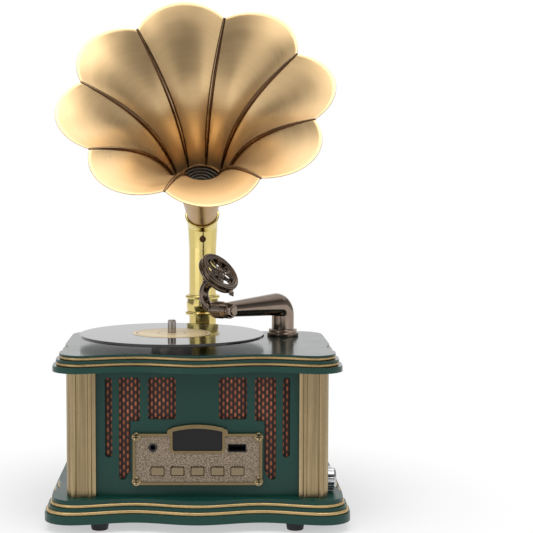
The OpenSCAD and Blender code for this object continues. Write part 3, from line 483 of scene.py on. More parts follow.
def brushed(name, base, deep, rough, stretch, low, high, source="Object", fine=1.0, broad=0.12,
            contrast=1.0, depth=0.01, hollow=0.6, edge=0.4, metal=1.0, flat=False):
    """Metal with fine parallel lines along one direction, painted shade in hollows and edges brighter from
    wear and a painted highlight.
    """
    plate = Finish(name, rough, metal)
    tree = plate.tree
    strokes = plate.use(BRUSHING, plate.spread(stretch, source), Fine=fine, Broad=broad, Contrast=contrast)
    vector = plate.spread()
    feel = plate.use(HANDLING, vector, Smudge_Scale=40.0, Speck_Scale=1200.0, Low=low, High=high)
    if flat:
        edges = plate.use(FOLD_EDGE_WEAR_AND_CORNER_SHADE, vector, Break_Up=350.0)
    else:
        edges = plate.use(POINTED_EDGE_WEAR_AND_HOLLOW_SHADE, vector, Break_Up=350.0, From=0.53, To=0.62)
    bright = tuple(min(1, value * 1.35 + 0.02) for value in base[:3]) + (1,)
    hollow_shade = tuple(value * 0.35 for value in deep[:3]) + (1,)
    tone = mixed(tree, strokes["Shade"], deep, base)
    # Brighter edges: partly wear, partly a painted highlight
    tone = mixed(tree, maths(tree, "MULTIPLY", edges["Edge"], edge), tone, bright)
    # Darker hollows: painted shade
    tone = mixed(tree, maths(tree, "MULTIPLY", edges["Hollow"], hollow), tone, hollow_shade)
    plate.colour(tone)
    streaks = maths(tree, "MULTIPLY", maths(tree, "SUBTRACT", strokes["Shade"], 0.5), 0.12)
    plate.rough(maths(tree, "ADD", feel["Roughness"], streaks))
    plate.bump(strokes["Height"], depth)
    return plate.material


def plain(name, base, deep, rough, low, high, metal=0.0, speck=900.0, depth=0.02, **sockets):
    """Moulded or cast surface: a fine even grain and uneven gloss."""
    cast = Finish(name, rough, metal, **sockets)
    feel = cast.use(HANDLING, cast.spread(), Smudge_Scale=45.0, Speck_Scale=speck, Low=low, High=high)
    cast.colour(mixed(cast.tree, feel["Shade"], deep, base))
    cast.rough(feel["Roughness"])
    cast.bump(feel["Height"], depth)
    return cast.material


green_paint = painted("cabinet_green_paint", tint(21, 67, 58), tint(16, 57, 49), 0.34, 0.28, 0.4,
                      coat=0.12, gloss=0.25)
top_lacquer = painted("top_board_lacquer", tint(24, 44, 39), tint(18, 36, 32), 0.2, 0.14, 0.22,
                      coat=0.12, orange_peel=0.008)
bead_gold = brushed("bead_gold_leaf", tint(220, 190, 136), tint(176, 144, 96), 0.36, (60, 60, 60),
                    0.3, 0.42, fine=8.0, broad=2.0, contrast=1.2, depth=0.01, hollow=0.8, edge=0.5,
                    metal=0.75)
pilaster_brass = brushed("pilaster_antique_brass", tint(194, 172, 132), tint(100, 84, 60), 0.3,
                         (900, 900, 12), 0.24, 0.38, contrast=1.9, broad=0.3, depth=0.012)
plate_rim = brushed("plate_smooth_rim", tint(152, 134, 100), tint(106, 90, 64), 0.32, (400, 400, 400),
                    0.26, 0.38, contrast=1.0, depth=0.004, hollow=0.7, edge=0.6, flat=True)
button_gold = brushed("button_olive_gold", tint(168, 150, 122), tint(126, 110, 86), 0.4, (60, 900, 900),
                      0.34, 0.46, contrast=1.2, depth=0.006, hollow=0.9, edge=0.0, flat=True)
screw_brass = brushed("screw_aged_brass", tint(206, 184, 142), tint(128, 108, 76), 0.26,
                      (500, 500, 500), 0.2, 0.34, contrast=1.3, depth=0.006, hollow=0.9, edge=0.7)
horn_gold = brushed("horn_brushed_gold", tint(228, 197, 150), tint(202, 169, 121), 0.33, (5, 560, 1),
                    0.27, 0.39, source="UV", fine=1.0, broad=0.1, contrast=1.2, depth=0.008, hollow=0.0,
                    edge=0.0, metal=0.85)
horn_back = brushed("horn_back_gold", tint(226, 194, 146), tint(186, 152, 106), 0.38, (5, 560, 1),
                    0.32, 0.46, source="UV", fine=1.0, broad=0.1, contrast=1.0, depth=0.006, hollow=0.0,
                    edge=0.0)
neck_gold = brushed("neck_brushed_gold", tint(206, 176, 134), tint(156, 126, 88), 0.32, (120, 120, 900),
                    0.26, 0.38, contrast=1.1, depth=0.006, hollow=0.3, edge=0.3)
seam_brown = brushed("seam_aged_brass", tint(120, 92, 66), tint(62, 44, 30), 0.26, (300, 300, 300),
                     0.2, 0.34, contrast=1.2, depth=0.004, hollow=0.0, edge=0.8)
column_brass = brushed("column_polished_brass", tint(232, 214, 142), tint(206, 184, 112), 0.13,
                       (30, 30, 900), 0.08, 0.17, contrast=0.5, depth=0.002, hollow=0.6, edge=0.3)
gunmetal = brushed("arm_gunmetal", tint(164, 147, 133), tint(118, 102, 90), 0.14, (140, 140, 140),
                   0.1, 0.18, contrast=0.9, depth=0.002, hollow=0.7, edge=0.3)
box_gunmetal = brushed("sound_box_gunmetal", tint(136, 120, 106), tint(84, 72, 64), 0.13,
                       (260, 260, 260), 0.1, 0.18, contrast=1.0, depth=0.002, hollow=0.9, edge=0.3)
throat_black = brushed("throat_dark_chrome", tint(96, 92, 86), tint(30, 28, 26), 0.16, (300, 300, 300),
                       0.1, 0.24, contrast=1.2, depth=0.004, hollow=0.9, edge=0.9)
steel = brushed("turned_steel", tint(206, 200, 194), tint(150, 142, 136), 0.22, (60, 60, 1400),
                0.16, 0.3, contrast=0.8, depth=0.004, hollow=0.6, edge=0.3)
knob_chrome = brushed("knob_chrome", tint(214, 214, 216), tint(150, 150, 152), 0.2, (900, 60, 60),
                      0.14, 0.28, contrast=0.8, depth=0.004, hollow=0.7, edge=0.4)
# Painted shade for the rim's inner wall, the screw recesses and the sides of the keys
groove_shade = brushed("plate_groove_painted_shade", tint(78, 66, 46), tint(40, 33, 24), 0.5, (300, 300, 300),
                      0.44, 0.6, contrast=1.0, depth=0.004, hollow=0.5, edge=0.3, metal=0.7)
black_plastic = plain("moulded_black", tint(34, 34, 36), tint(22, 22, 24), 0.42, 0.36, 0.52)
foot_rubber = plain("foot_rubber", tint(30, 30, 31), tint(16, 16, 17), 0.7, 0.6, 0.8, speck=500.0,
                    depth=0.05)
dark_lens = plain("display_dark_lens", tint(24, 23, 26), tint(19, 18, 21), 0.14, 0.08, 0.18,
                  depth=0.0005, Specular_IOR_Level=0.25)
bracket_black = plain("bracket_black_coat", tint(40, 40, 42), tint(26, 26, 28), 0.5, 0.42, 0.6,
                      metal=0.2, speck=420.0, depth=0.06)
board_green = plain("circuit_board_green", tint(30, 92, 54), tint(20, 66, 40), 0.4, 0.34, 0.5)
battery_blue = plain("battery_wrap", tint(52, 92, 140), tint(40, 74, 116), 0.3, 0.24, 0.38)


def make_plate_face():
    """Cast face with a fine crumbly stipple, with painted shade in its pits."""
    face = Finish("plate_stippled_face", 0.5, 0.55)
    tree = face.tree
    vector = face.spread()
    both = shared(tree, noise(tree, vector, 900, 4, 0.75), 0.65, noise(tree, vector, 2000, 2, 0.6))
    sharp = ranged(tree, both, 0.42, 0.58, 0.0, 1.0)
    # The pits, where the bump is low, get the darker colour: painted shade
    face.colour(mixed(tree, sharp, tint(94, 80, 66), tint(176, 158, 136)))
    face.rough(ranged(tree, both, 0.4, 0.6, 0.58, 0.4))
    face.bump(both, 0.22, 0.8)
    return face.material


def make_cloth():
    """Black open weave with upright copper dashes, every second column half a repeat lower."""
    cloth = Finish("grille_cloth_weave", 0.75, Sheen_Weight=0.2, Sheen_Roughness=0.5)
    tree = cloth.tree
    where = axes_of(tree, cloth.place.outputs["Object"])
    # Counted from 500 columns to the left, so that the count is never below zero
    column = maths(tree, "ADD", maths(tree, "DIVIDE", where["X"], DASH_W * MM), 500.0)
    which = maths(tree, "FLOOR", column)
    rise = maths(tree, "ADD", maths(tree, "DIVIDE", where["Z"], DASH_H * MM),
                 maths(tree, "MULTIPLY", maths(tree, "MODULO", which, 2.0), 0.5))
    along = maths(tree, "FRACT", rise)
    side = apart(tree, maths(tree, "FRACT", column), 0.5)
    dash = maths(tree, "MULTIPLY", ranged(tree, side, 0.15, 0.34, 1.0, 0.0),
                 ranged(tree, apart(tree, along, 0.5), 0.19, 0.33, 1.0, 0.0))
    fibre = noise(tree, cloth.spread((3400, 3400, 700)), 1, 4, 0.7)
    cell = tree.nodes.new("ShaderNodeCombineXYZ")
    tree.links.new(which, cell.inputs[0])
    tree.links.new(maths(tree, "FLOOR", rise), cell.inputs[1])
    chance = tree.nodes.new("ShaderNodeTexWhiteNoise")
    tree.links.new(cell.outputs[0], chance.inputs["Vector"])
    lit = shared(tree, fibre, 0.6, chance.outputs["Value"])
    copper = mixed(tree, lit, tint(112, 52, 32), tint(226, 132, 88))
    thread = noise(tree, cloth.spread(), 2600, 3, 0.6)
    black = mixed(tree, thread, tint(16, 14, 14), tint(40, 34, 32))
    weft = ranged(tree, apart(tree, along, 0.02), 0.02, 0.05, 1.0, 0.0)
    warp = ranged(tree, side, 0.05, 0.3, 0.3, 0.0)
    thin_lines = maths(tree, "MAXIMUM", maths(tree, "MULTIPLY", weft, 0.5), warp)
    ground = mixed(tree, thin_lines, black, tint(116, 60, 40))
    cloth.colour(mixed(tree, dash, ground, copper))
    crown = maths(tree, "SUBTRACT", 1.0, maths(tree, "MULTIPLY", side, 1.4))
    cloth.bump(maths(tree, "ADD", maths(tree, "MULTIPLY", dash, crown),
                     maths(tree, "MULTIPLY", fibre, 0.25)), 0.5)
    return cloth.material


def from_spindle(finish):
    """How far a place lies from the spindle's axis."""
    flat = finish.spread((1, 1, 0), location=(-record_centre.x, -record_centre.y, 0))
    return length_of(finish.tree, flat)


def make_record_black():
    """Pressed record: fine rings with wider silent bands, very glossy."""
    disc = Finish("record_pressed_black", 0.05, Coat_Weight=0.35, Coat_Roughness=0.02,
                  Specular_IOR_Level=0.5)
    tree = disc.tree
    radius = from_spindle(disc)
    fine = maths(tree, "SINE", maths(tree, "MULTIPLY", radius, 2 * math.pi / (GROOVE_PITCH * MM)))
    band = maths(tree, "SINE", maths(tree, "MULTIPLY", radius, 2 * math.pi / (BAND_PITCH * MM)))
    grooved = ranged(tree, band, 0.9, 0.97, 1.0, 0.0)
    feel = disc.use(HANDLING, disc.spread(), Smudge_Scale=22.0, Speck_Scale=1500.0, Low=0.03, High=0.07)
    disc.colour(mixed(tree, feel["Shade"], tint(12, 12, 13), tint(26, 26, 28)))
    disc.rough(maths(tree, "ADD", feel["Roughness"], maths(tree, "MULTIPLY", grooved, 0.02)))
    disc.bump(maths(tree, "MULTIPLY", fine, grooved), 0.0012)
    return disc.material


def make_label():
    """Printed paper: cream gold with two thin rings and paper fibres."""
    paper = Finish("label_cream_paper", 0.45, Coat_Weight=0.25, Coat_Roughness=0.2)
    tree = paper.tree
    radius = maths(tree, "DIVIDE", from_spindle(paper), LABEL_R * MM)
    outer = ranged(tree, apart(tree, radius, 0.9), 0.012, 0.02, 1.0, 0.0)
    inner = ranged(tree, apart(tree, radius, 0.36), 0.008, 0.016, 1.0, 0.0)
    fibre = noise(tree, paper.spread(), 1400, 4, 0.7)
    stock = mixed(tree, fibre, tint(230, 204, 150), tint(246, 226, 182))
    paper.colour(mixed(tree, maths(tree, "MAXIMUM", outer, inner), stock, tint(150, 108, 58)))
    paper.rough(ranged(tree, fibre, 0.3, 0.7, 0.4, 0.52))
    paper.bump(fibre, 0.02)
    return paper.material


def make_bare_wood():
    """Raw board inside the cabinet: pressed fibres with a faint grain."""
    wood = Finish("bare_fibre_board", 0.8)
    tree = wood.tree
    grain = noise(tree, wood.spread((30, 30, 260)), 1, 6, 0.7)
    fibre = noise(tree, wood.spread(), 900, 4, 0.7)
    wood.colour(mixed(tree, shared(tree, grain, 0.6, fibre), tint(116, 84, 54), tint(178, 140, 98)))
    wood.rough(ranged(tree, fibre, 0.3, 0.7, 0.72, 0.9))
    wood.bump(fibre, 0.06)
    return wood.material


plate_stipple = make_plate_face()
cloth_weave = make_cloth()
record_black = make_record_black()
label_paper = make_label()
bare_wood = make_bare_wood()


# Cabinet

def cabinet_woodwork():
    dress(moulded("plinth", "plinth_shell", 2.6, 1.0), "cabinet", green_paint, "cabinet_green", "plinth")
    fitted("plinth_beads", "plinth_bead_rings", 1.05, 4, "cabinet", bead_gold, "bead_gold", 50)
    board = moulded("top_board", "top_board_shell", 1.8, 0.9)
    dress(board, "cabinet", [green_paint, top_lacquer], "cabinet_green", "top_board")
    for face in board.data.polygons:
        face.material_index = 1 if face.normal.z > 0.9 else 0
    fitted("board_beads", "board_bead_rings", 1.05, 4, "cabinet", bead_gold, "bead_gold", 50)
    fitted("front_panel", "front_panel_board", 0.45, 3, "cabinet", green_paint, "cabinet_green")
    for side in ("left", "right"):
        fitted("pilaster_" + side, "pilaster_strip_" + side, 0.5, 3, "cabinet", pilaster_brass,
               "antique_trim")
        fitted("side_panel_" + side, "side_board_" + side, 0.4, 2, "cabinet", green_paint, "cabinet_green")
    fitted("rear_panel", "rear_board", 0.4, 2, "cabinet", green_paint, "cabinet_green")


def stretched_cloth():
    """Grille cloth drawn tight behind the front panel, cut away behind the display and the USB socket."""
    low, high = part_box("grille_cloth")
    size = Vector(high) - Vector(low)
    nobody()
    bpy.ops.mesh.primitive_grid_add(x_subdivisions=48, y_subdivisions=30, size=1,
                                    location=middle("grille_cloth"), rotation=(math.pi / 2, 0, 0))
    piece = named("grille_cloth_sheet")
    piece.scale = (size.x, size.z, 1)
    settle(piece)
    editing(piece)
    bpy.ops.mesh.select_all(action="DESELECT")
    done_editing()
    for face in piece.data.polygons:
        place = face.center - SHIFT
        face.select = (abs(place.x) < CLOTH_HOLE_X * MM
                       and abs(place.z - PLATE_Z * MM) < CLOTH_HOLE_Z * MM)
    editing_selected(piece)
    bpy.ops.mesh.delete(type="FACE")
    done_editing()
    modify(piece, "SOLIDIFY", thickness=0.5 * MM, offset=0)
    shade(piece, 40, False)
    dress(piece, "cabinet", cloth_weave, "cloth", "grille_cloth")


def front_fittings():
    plate = softened("control_plate", "control_plate_casting", 0.3, 3)
    dress(plate, "cabinet", [plate_stipple, plate_rim, groove_shade], "plate_metal", "control_plate")
    rim_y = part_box("control_plate")[0][1]
    centre = spot(0, 0, PLATE_Z)
    # Faces of the rim's inner wall round the field get the dark finish: painted shade
    for face in plate.data.polygons:
        off = face.center - centre
        inside = abs(off.x) < PLATE_FIELD_X * MM and abs(off.z) < PLATE_FIELD_Z * MM
        if face.normal.y < -0.9 and face.center.y > rim_y + 0.5 * MM:
            face.material_index = 0
        elif inside and face.normal.y > -0.75:
            face.material_index = 2
        else:
            face.material_index = 1
    places = [centre + Vector((x, 0, z)) * MM for x in (-PLATE_SCREW_X, PLATE_SCREW_X)
              for z in (-PLATE_SCREW_Z, PLATE_SCREW_Z)]
    screws = softened("plate_screws", "plate_screw_heads", 0.12, 2)
    dress(screws, "cabinet", [screw_brass, groove_shade], "screw_brass", "plate_screws")
    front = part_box("plate_screws")[0][1]
    recess_r, recess_deep = 2.1, 0.35
    # Faces in each head's cross recess get the dark finish: painted shade
    for face in screws.data.polygons:
        near = min(math.hypot(face.center.x - place.x, face.center.z - place.z) for place in places)
        sunk = face.center.y > front + recess_deep * MM or abs(face.normal.y) < 0.5
        face.material_index = 1 if sunk and near < recess_r * MM else 0
    collars = []
    collar_r, collar_tube, collar_sunk = 2.7, 0.55, 0.42
    for place in places:
        collar = ring("plate_screw_collar", collar_r, collar_tube, 40, 12)
        collar.rotation_euler = (math.radians(90), 0, 0)
        collar.location = (place.x, rim_y + collar_sunk * MM, place.z)
        settle(collar)
        collars.append(collar)
    whole = joined(collars, "plate_screw_collars")
    shade(whole, 60, False)
    dress(whole, "cabinet", screw_brass, "plate_metal")
    fitted("display_lens", "display_window", 0.2, 2, "cabinet", dark_lens, "dark_lens")
    # The caps are a little smaller than their solids, so that a dark gap shows round each
    slim = Matrix.Diagonal((0.945, 1, 0.925, 1))
    for number in range(1, 6):
        node = "button_%d" % number
        key = softened(node, "button_cap_%d" % number, 0.35, 3)
        place = middle(node)
        key.data.transform(Matrix.Translation(place) @ slim @ Matrix.Translation(-place))
        dress(key, node + "_body", [button_gold, groove_shade], "plate_metal", node)
        # The sides of each cap get the dark finish: painted shade
        for face in key.data.polygons:
            face.material_index = 1 if face.normal.y > -0.6 else 0
    fitted("aux_jack", "aux_socket_shell", 0.15, 2, "cabinet", black_plastic, "black_plastic")
    fitted("usb_port", "usb_socket_shell", 0.1, 2, "cabinet", black_plastic, "black_plastic")
    fitted("feet", "foot_pads", 0.6, 3, "cabinet", foot_rubber, "foot_rubber")


def turntable():
    fitted("record", "record_disc", 0.45, 3, "turntable", record_black, "record_black")
    fitted("record_label", "record_label_paper", 0.05, 1, "turntable", label_paper, "label_paper")
    fitted("spindle", "spindle_pin", 0.35, 3, "turntable", steel, "steel")


def cast_cover():
    """Openwork cover of the sound box: eight long loops between a boss and a rim, all cast in one."""
    turn, rise = math.radians(322), math.radians(40)
    along = Vector((math.cos(turn), math.sin(turn), 0))
    side = Vector((-math.sin(turn), math.cos(turn), 0))
    facing = along * math.cos(rise) + Vector((0, 0, 1)) * math.sin(rise)
    top = facing.cross(side)
    solid = copied("sound_box_cover", "cover_guide")
    heights = [point.co.dot(facing) for point in solid.data.vertices]
    low, high = min(heights), max(heights)
    centre = middle("sound_box_cover")
    centre += facing * ((low + high) / 2 - centre.dot(facing))
    reach = max((point.co - centre - facing * (point.co - centre).dot(facing)).length
                for point in solid.data.vertices) / MM
    bpy.data.objects.remove(solid)
    deep = (high - low) / MM
    pieces = [ring("cover_rim", reach - 0.75, 0.75), ring("cover_hub", 4.0, 0.6, 40)]
    nobody()
    bpy.ops.mesh.primitive_uv_sphere_add(segments=32, ring_count=16, radius=3.2 * MM)
    boss = named("cover_boss")
    boss.scale = (1, 1, 0.42)
    settle(boss)
    pieces.append(boss)
    # Each loop is a ring drawn out to a drop shape, wider towards the rim
    loops, first_turn = 8, 11
    start, half_w, tube = 4.4, 1.75, 0.24
    length = reach - start - 1.0
    for k in range(loops):
        loop = ring("cover_loop_%d" % k, 1.0, tube, 40, 12)
        loop.scale = (length / 2 / (1 + tube), half_w / (1 + tube), 2.6)
        settle(loop)
        for point in loop.data.vertices:
            out = start * MM + (point.co.x + length / 2 * MM)
            point.co.y *= 0.5 + 0.85 * (out / MM - start) / length
            point.co.x = out
        loop.rotation_euler = (0, 0, math.radians(360 / loops * k + first_turn))
        settle(loop)
        pieces.append(loop)
    cover = joined(pieces, "sound_box_grille")
    thick = max(abs(point.co.z) for point in cover.data.vertices) / MM
    squeeze = min(1, deep / 2 / thick)
    for point in cover.data.vertices:
        point.co.z *= squeeze
    frame_of = Matrix((side, top, facing)).transposed().to_4x4()
    cover.data.transform(Matrix.Translation(centre) @ frame_of)
    shade(cover, 60, False)
    return cover


def arm_and_head():
    fitted("arm_base", "arm_base_rings", 0.5, 3, "cabinet", gunmetal, "gunmetal")
    fitted("tone_arm", "tone_arm_tube", 0.4, 3, "arm", gunmetal, "gunmetal")
    fitted("gooseneck", "curved_neck", 0.3, 3, "head", box_gunmetal, "gunmetal")
    fitted("gooseneck_nut", "neck_end_nut", 0.25, 3, "head", gunmetal, "gunmetal")
    fitted("sound_box", "sound_box_shell", 0.25, 3, "head", box_gunmetal, "gunmetal")
    dress(cast_cover(), "head", box_gunmetal, "gunmetal", "sound_box_cover")
    fitted("needle", "needle_stub", 0.2, 2, "head", box_gunmetal, "gunmetal")


def column_and_bracket():
    fitted("horn_column", "column_tube", 0.3, 3, "cabinet", column_brass, "column_brass")
    fitted("horn_sleeve", "column_sleeve", 0.2, 2, "cabinet", column_brass, "column_brass")
    fitted("sleeve_screw", "sleeve_screw_head", 0.3, 3, "cabinet", seam_brown, "column_brass")
    fitted("horn_bracket", "column_bracket", 0.5, 2, "cabinet", bracket_black, "bracket_black")


# Horn, worked out in its own frame: z along the axis, zero at the mouth's plane.
# Lengths are in millimetres and angles in degrees.

NECK_R, GROWTH, POWER = 12.0, 1.5, 5
REACH, MOUTH_R = 153.0, 93.5
COLLAR_REACH, HIDDEN_START = 11.7, 1.7
FLARE_L = REACH - COLLAR_REACH + HIDDEN_START
FLARE_R = MOUTH_R - NECK_R * math.exp(GROWTH)
PETALS, PETAL_START, PETAL_TIP, PETAL_TURN, BULGE = 8, -98.0, 2.5, 10.0, 0.107
PETAL_STEP = 360 / PETALS
SHEET = 1.0
SEAM_W, SEAM_H, SEAM_PROUD = 1.2, 2.4, 0.3
RIB_HALF_W, RIB_NARROWS = 2.3, 0.5
ELBOW, HORN_TURN, HORN_LEAN = (4.5, 132, 212.5), -2.8, 49.3
HORN = (Matrix.Translation(spot(*ELBOW)) @ Matrix.Rotation(math.radians(HORN_TURN), 4, "Z")
        @ Matrix.Rotation(math.radians(HORN_LEAN), 4, "X") @ Matrix.Translation((0, 0, REACH * MM)))


def seam_r(t):
    """Radius of the seams at a place along the axis: an even growth, then a steep flare."""
    s = 1 + t / FLARE_L
    return NECK_R * math.exp(GROWTH * s) + FLARE_R * s ** POWER


def grade(t):
    """How much that radius grows in a millimetre."""
    return seam_r(t + 0.5) - seam_r(t - 0.5)


def eased(x):
    """A smooth step from 0 to 1."""
    c = max(0.0, min(1.0, x))
    return c * c * (3 - 2 * c)


def petal_point(u, v):
    """A point of the petal's inner face: u runs from the throat to the rim, v from seam to seam."""
    t = PETAL_START + (PETAL_TIP * (1 - v * v) - PETAL_START) * u
    swell = BULGE * eased((t - PETAL_START) / 50 + 0.15)
    r = seam_r(t) * (1 + swell * (1 - v * v))
    half = math.pi / PETALS - math.asin((SEAM_W / 2 + 0.05) / r)
    return Vector((r * math.cos(v * half), r * math.sin(v * half), t))


def turned_copy(first, degrees):
    """A copy turned about the horn's axis and set in its place."""
    piece = first.copy()
    piece.data = first.data.copy()
    bpy.context.scene.collection.objects.link(piece)
    piece.data.transform(HORN @ Matrix.Rotation(math.radians(degrees), 4, "Z"))
    return piece


def horn_petals():
    """Eight sheet-metal petals, each a fine bowed grid given its thickness and eased edges."""
    rows, columns = 72, 36
    nobody()
    bpy.ops.mesh.primitive_grid_add(x_subdivisions=columns, y_subdivisions=rows, size=1, calc_uvs=True)
    first = named("petal")
    mesh = first.data
    for point in mesh.vertices:
        point.co = petal_point(point.co.y + 0.5, point.co.x * 2) * MM
    editing(first)
    bpy.ops.mesh.normals_make_consistent(inside=False)
    done_editing()
    centre = mesh.polygons[len(mesh.polygons) // 2]
    if centre.normal.dot(Vector((1, 0, -0.6))) < 0:
        editing(first)
        bpy.ops.mesh.flip_normals()
        done_editing()
    modify(first, "SOLIDIFY", thickness=0.96 * SHEET * MM, offset=1.0, use_even_offset=True, use_rim=True)
    modify(first, "BEVEL", width=0.3 * MM, segments=2, limit_method="ANGLE", angle_limit=math.radians(50))
    shade(first, 40, False)
    first.data.materials.append(horn_gold)
    first.data.materials.append(horn_back)
    for number, part in (("upper", range(0, 4)), ("lower", range(4, 8))):
        sheets = [turned_copy(first, PETAL_TURN + PETAL_STEP * k) for k in part]
        dress(joined(sheets, "horn_petal_sheets_" + number), "cabinet", [horn_gold, horn_back],
              "horn_gold", "horn_petals_" + number)
    bpy.data.objects.remove(first)


def make_rib_metal():
    """Aged brass rib: dark flanks and a painted highlight along the crest that follows the fold."""
    rib = Finish("seam_rib_aged_brass", 0.26, 1.0)
    tree = rib.tree
    # A painted highlight along the crest of the rib
    off = apart(tree, axes_of(tree, rib.place.outputs["UV"])["X"], 0.47)
    crest = ranged(tree, off, 0.008, 0.045, 0.6, 0.0)
    strokes = rib.use(BRUSHING, rib.spread((6, 90, 1), "UV"), Fine=1.0, Broad=0.2, Contrast=1.4)
    feel = rib.use(HANDLING, rib.spread(), Smudge_Scale=60.0, Speck_Scale=1200.0, Low=0.2, High=0.34)
    flank = mixed(tree, strokes["Shade"], tint(84, 60, 42), tint(116, 86, 62))
    bright = mixed(tree, strokes["Shade"], tint(186, 156, 116), tint(236, 210, 168))
    rib.colour(mixed(tree, crest, flank, bright))
    rib.rough(feel["Roughness"])
    rib.bump(strokes["Height"], 0.004)
    return rib.material


def seam_ribs():
    """Eight folded seams: slim rounded ribs that taper out at the throat and at the rim."""
    rows, around = 60, 14
    nobody()
    bpy.ops.mesh.primitive_grid_add(x_subdivisions=around, y_subdivisions=rows, size=1, calc_uvs=True)
    first = named("rib")
    for point in first.data.vertices:
        u = point.co.y + 0.5
        turn = (point.co.x + 0.5) * 2 * math.pi
        t = PETAL_START * (1 - u)
        lean = grade(t)
        long = math.sqrt(1 + lean * lean)
        full = math.sin(math.pi * (0.05 + 0.9 * u)) ** 0.35
        inner = SEAM_H * math.sin(math.pi * (0.06 + 0.88 * u))
        outer = SHEET + SEAM_PROUD
        out = (outer - inner) / 2 + (outer + inner) / 2 * math.cos(turn)
        wide = (RIB_HALF_W - RIB_NARROWS * (1 - u)) * full * math.sin(turn)
        point.co = Vector((seam_r(t) + out / long, wide, t - out * lean / long)) * MM
    editing(first)
    bpy.ops.mesh.remove_doubles(threshold=1e-6)
    bpy.ops.mesh.select_all(action="DESELECT")
    bpy.ops.mesh.select_mode(type="EDGE")
    bpy.ops.mesh.select_non_manifold(extend=False)
    bpy.ops.mesh.edge_face_add()
    bpy.ops.mesh.select_all(action="SELECT")
    bpy.ops.mesh.normals_make_consistent(inside=False)
    done_editing()
    shade(first, 60, False)
    ribs = [turned_copy(first, PETAL_TURN + PETAL_STEP / 2 + PETAL_STEP * k) for k in range(PETALS)]
    dress(joined(ribs, "horn_seam_ribs"), "cabinet", make_rib_metal(), "seam_brown", "horn_seams")
    bpy.data.objects.remove(first)


def neck_and_throat():
    fitted("horn_neck", "horn_neck_tube", 0.15, 2, "cabinet", neck_gold, "horn_gold", 40)
    fitted("throat_insert", "throat_rings", 0.2, 2, "cabinet", throat_black, "throat_black", 50)


def side_knob():
    fitted("volume_knob", "volume_knob_cap", 0.3, 3, "knob", knob_chrome, "knob_chrome")


def hidden_parts():
    """Solids whose shape is already right: they only get their finish."""
    finishes = {
        "rear_posts": green_paint, "speaker_baffle": bare_wood, "speaker_left": black_plastic,
        "speaker_right": black_plastic, "speaker_screws": steel, "display_module": board_green,
        "button_board": board_green, "main_board": board_green, "battery_pack": battery_blue,
        "rear_screws": steel, "power_switch": black_plastic, "power_slider": black_plastic,
        "charge_port": black_plastic, "foot_screws": steel, "platter_bearing": steel,
        "platter_motor": steel, "knob_shaft": steel, "knob_encoder": steel,
    }
    for node, material in finishes.items():
        slots = nodes[node].material_slots
        if not slots:
            nodes[node].data.materials.append(material)
        for place in slots:
            place.material = material


# Studio

def soft_box(name, place, aim, size, power):
    light = bpy.data.lights.new(name, "AREA")
    light.shape = "RECTANGLE"
    light.size, light.size_y = size
    light.energy = power
    lamp = bpy.data.objects.new(name, light)
    bpy.context.scene.collection.objects.link(lamp)
    lamp.location = place
    lamp.rotation_euler = (Vector(aim) - Vector(place)).to_track_quat("-Z", "Y").to_euler()


def paper_floor():
    """White paper. Near the cabinet half of what the camera sees is lit and takes the shadow, and
    farther out the paper glows white. Reflections see it mostly glowing."""
    nobody()
    bpy.ops.mesh.primitive_grid_add(x_subdivisions=4, y_subdivisions=4, size=12, location=(0, 0, 0))
    floor = named("studio_floor")
    material = bpy.data.materials.new("studio_floor_paper")
    material.use_nodes = True
    tree = material.node_tree
    shader = tree.nodes["Principled BSDF"]
    shader.inputs["Base Color"].default_value = (0.74, 0.74, 0.74, 1)
    shader.inputs["Roughness"].default_value = 0.9
    glow = tree.nodes.new("ShaderNodeEmission")
    glow.inputs["Strength"].default_value = 1
    path = tree.nodes.new("ShaderNodeLightPath")
    away = length_of(tree, tree.nodes.new("ShaderNodeTexCoord").outputs["Object"])
    fade = ranged(tree, away, 0.13, 0.25, 0.5, 1.0)
    seen = maths(tree, "MAXIMUM", maths(tree, "MULTIPLY", path.outputs["Is Camera Ray"], fade),
                 maths(tree, "MULTIPLY", path.outputs["Is Glossy Ray"], 0.85))
    blend = tree.nodes.new("ShaderNodeMixShader")
    tree.links.new(seen, blend.inputs[0])
    tree.links.new(shader.outputs[0], blend.inputs[1])
    tree.links.new(glow.outputs[0], blend.inputs[2])
    tree.links.new(blend.outputs[0], tree.nodes["Material Output"].inputs["Surface"])
    floor.data.materials.append(material)


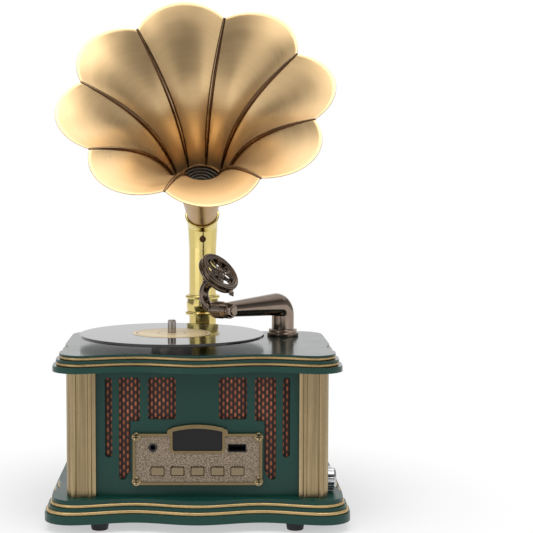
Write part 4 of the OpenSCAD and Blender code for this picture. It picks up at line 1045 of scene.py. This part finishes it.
def surround():
    """The room: white to the camera, even grey to matt surfaces, and to shiny ones light and dark
    by direction, with a bright wall behind the horn and a bright part overhead."""
    world = bpy.data.worlds.new("studio_surround")
    bpy.context.scene.world = world
    world.use_nodes = True
    tree = world.node_tree
    back = tree.nodes["Background"]
    path = tree.nodes.new("ShaderNodeLightPath").outputs
    way = axes_of(tree, tree.nodes.new("ShaderNodeTexCoord").outputs["Generated"])
    height = way["Z"]
    flat_way = maths(tree, "SQRT", maths(tree, "ADD", maths(tree, "MULTIPLY", way["X"], way["X"]),
                                         maths(tree, "MULTIPLY", way["Y"], way["Y"])))
    # -1 in front of the cabinet, where the camera stands, and 1 behind it
    round_about = maths(tree, "DIVIDE", way["Y"], maths(tree, "MAXIMUM", flat_way, 0.01))

    # Brightness from the front round to the back, as seen in reflections
    bands = tree.nodes.new("ShaderNodeValToRGB")
    stops = ((0.0, 0.1), (0.045, 0.12), (0.075, 0.5), (0.16, 0.45), (0.26, 0.35), (0.42, 0.25),
             (0.88, 0.3), (0.95, 0.95))
    for number, (place, level) in enumerate(stops):
        if number < 2:
            stop = bands.color_ramp.elements[number]
            stop.position = place
        else:
            stop = bands.color_ramp.elements.new(place)
        stop.color = (level, level, level, 1)
    tree.links.new(ranged(tree, round_about, -1.0, 1.0, 0.0, 1.0), bands.inputs[0])

    behind = maths(tree, "MULTIPLY", ranged(tree, round_about, 0.8, 0.95, 0.0, 1.0),
                   ranged(tree, height, 0.4, 0.6, 1.0, 0.35))
    fall = maths(tree, "MAXIMUM", ranged(tree, height, 0.15, 0.5, 1.0, 0.35), behind)
    overhead = maths(tree, "MAXIMUM",
                     maths(tree, "MULTIPLY", ranged(tree, round_about, 0.2, 0.7, 0.25, 2.4),
                           ranged(tree, height, 0.66, 0.86, 0.0, 1.0)),
                     maths(tree, "MULTIPLY", ranged(tree, round_about, 0.1, 0.4, 0.0, 1.0),
                           ranged(tree, height, 0.3, 0.45, 0.0, 0.7)))
    mirrored = maths(tree, "MAXIMUM", maths(tree, "MULTIPLY", bands.outputs[0], fall), overhead)
    seen = maths(tree, "MAXIMUM", path["Is Camera Ray"],
                 maths(tree, "MAXIMUM", path["Is Glossy Ray"], path["Is Transmission Ray"]))
    soft = ranged(tree, height, -0.1, 0.8, 0.42, 0.66)
    tone = maths(tree, "ADD", maths(tree, "MULTIPLY", seen, mirrored),
                 maths(tree, "MULTIPLY", maths(tree, "SUBTRACT", 1.0, seen), soft))
    tree.links.new(maths(tree, "MAXIMUM", tone, path["Is Camera Ray"]), back.inputs["Strength"])
    back.inputs["Color"].default_value = (1, 1, 1, 1)


def studio():
    """Floor, room and three soft boxes. Places and sizes are in metres, power in watts."""
    paper_floor()
    surround()
    soft_box("left_soft_box", (-1.15, -0.95, 0.7), (0, 0, 0.2), (1.3, 1.5), 3.6)
    soft_box("right_soft_box", (1.25, -0.75, 0.65), (0, 0, 0.2), (1.2, 1.5), 1.4)
    soft_box("top_soft_box", (0.0, -0.35, 1.5), (0, 0.02, 0.2), (1.4, 1.0), 16)


def camera():
    data = bpy.data.cameras.new("front_camera")
    data.lens = LENS
    data.sensor_width = SENSOR_W
    data.shift_x = SHIFT_X
    data.clip_end = 50
    eye = bpy.data.objects.new("front_camera", data)
    bpy.context.scene.collection.objects.link(eye)
    eye.location = spot(0, CAMERA_Y, CAMERA_Z)
    eye.rotation_euler = (math.radians(90 - CAMERA_TILT), 0, 0)
    bpy.context.scene.camera = eye
    bpy.context.scene.view_settings.view_transform = "Standard"


camera()
cabinet_woodwork()
stretched_cloth()
front_fittings()
turntable()
arm_and_head()
column_and_bracket()
horn_petals()
seam_ribs()
neck_and_throat()
side_knob()
hidden_parts()
studio()

nobody()
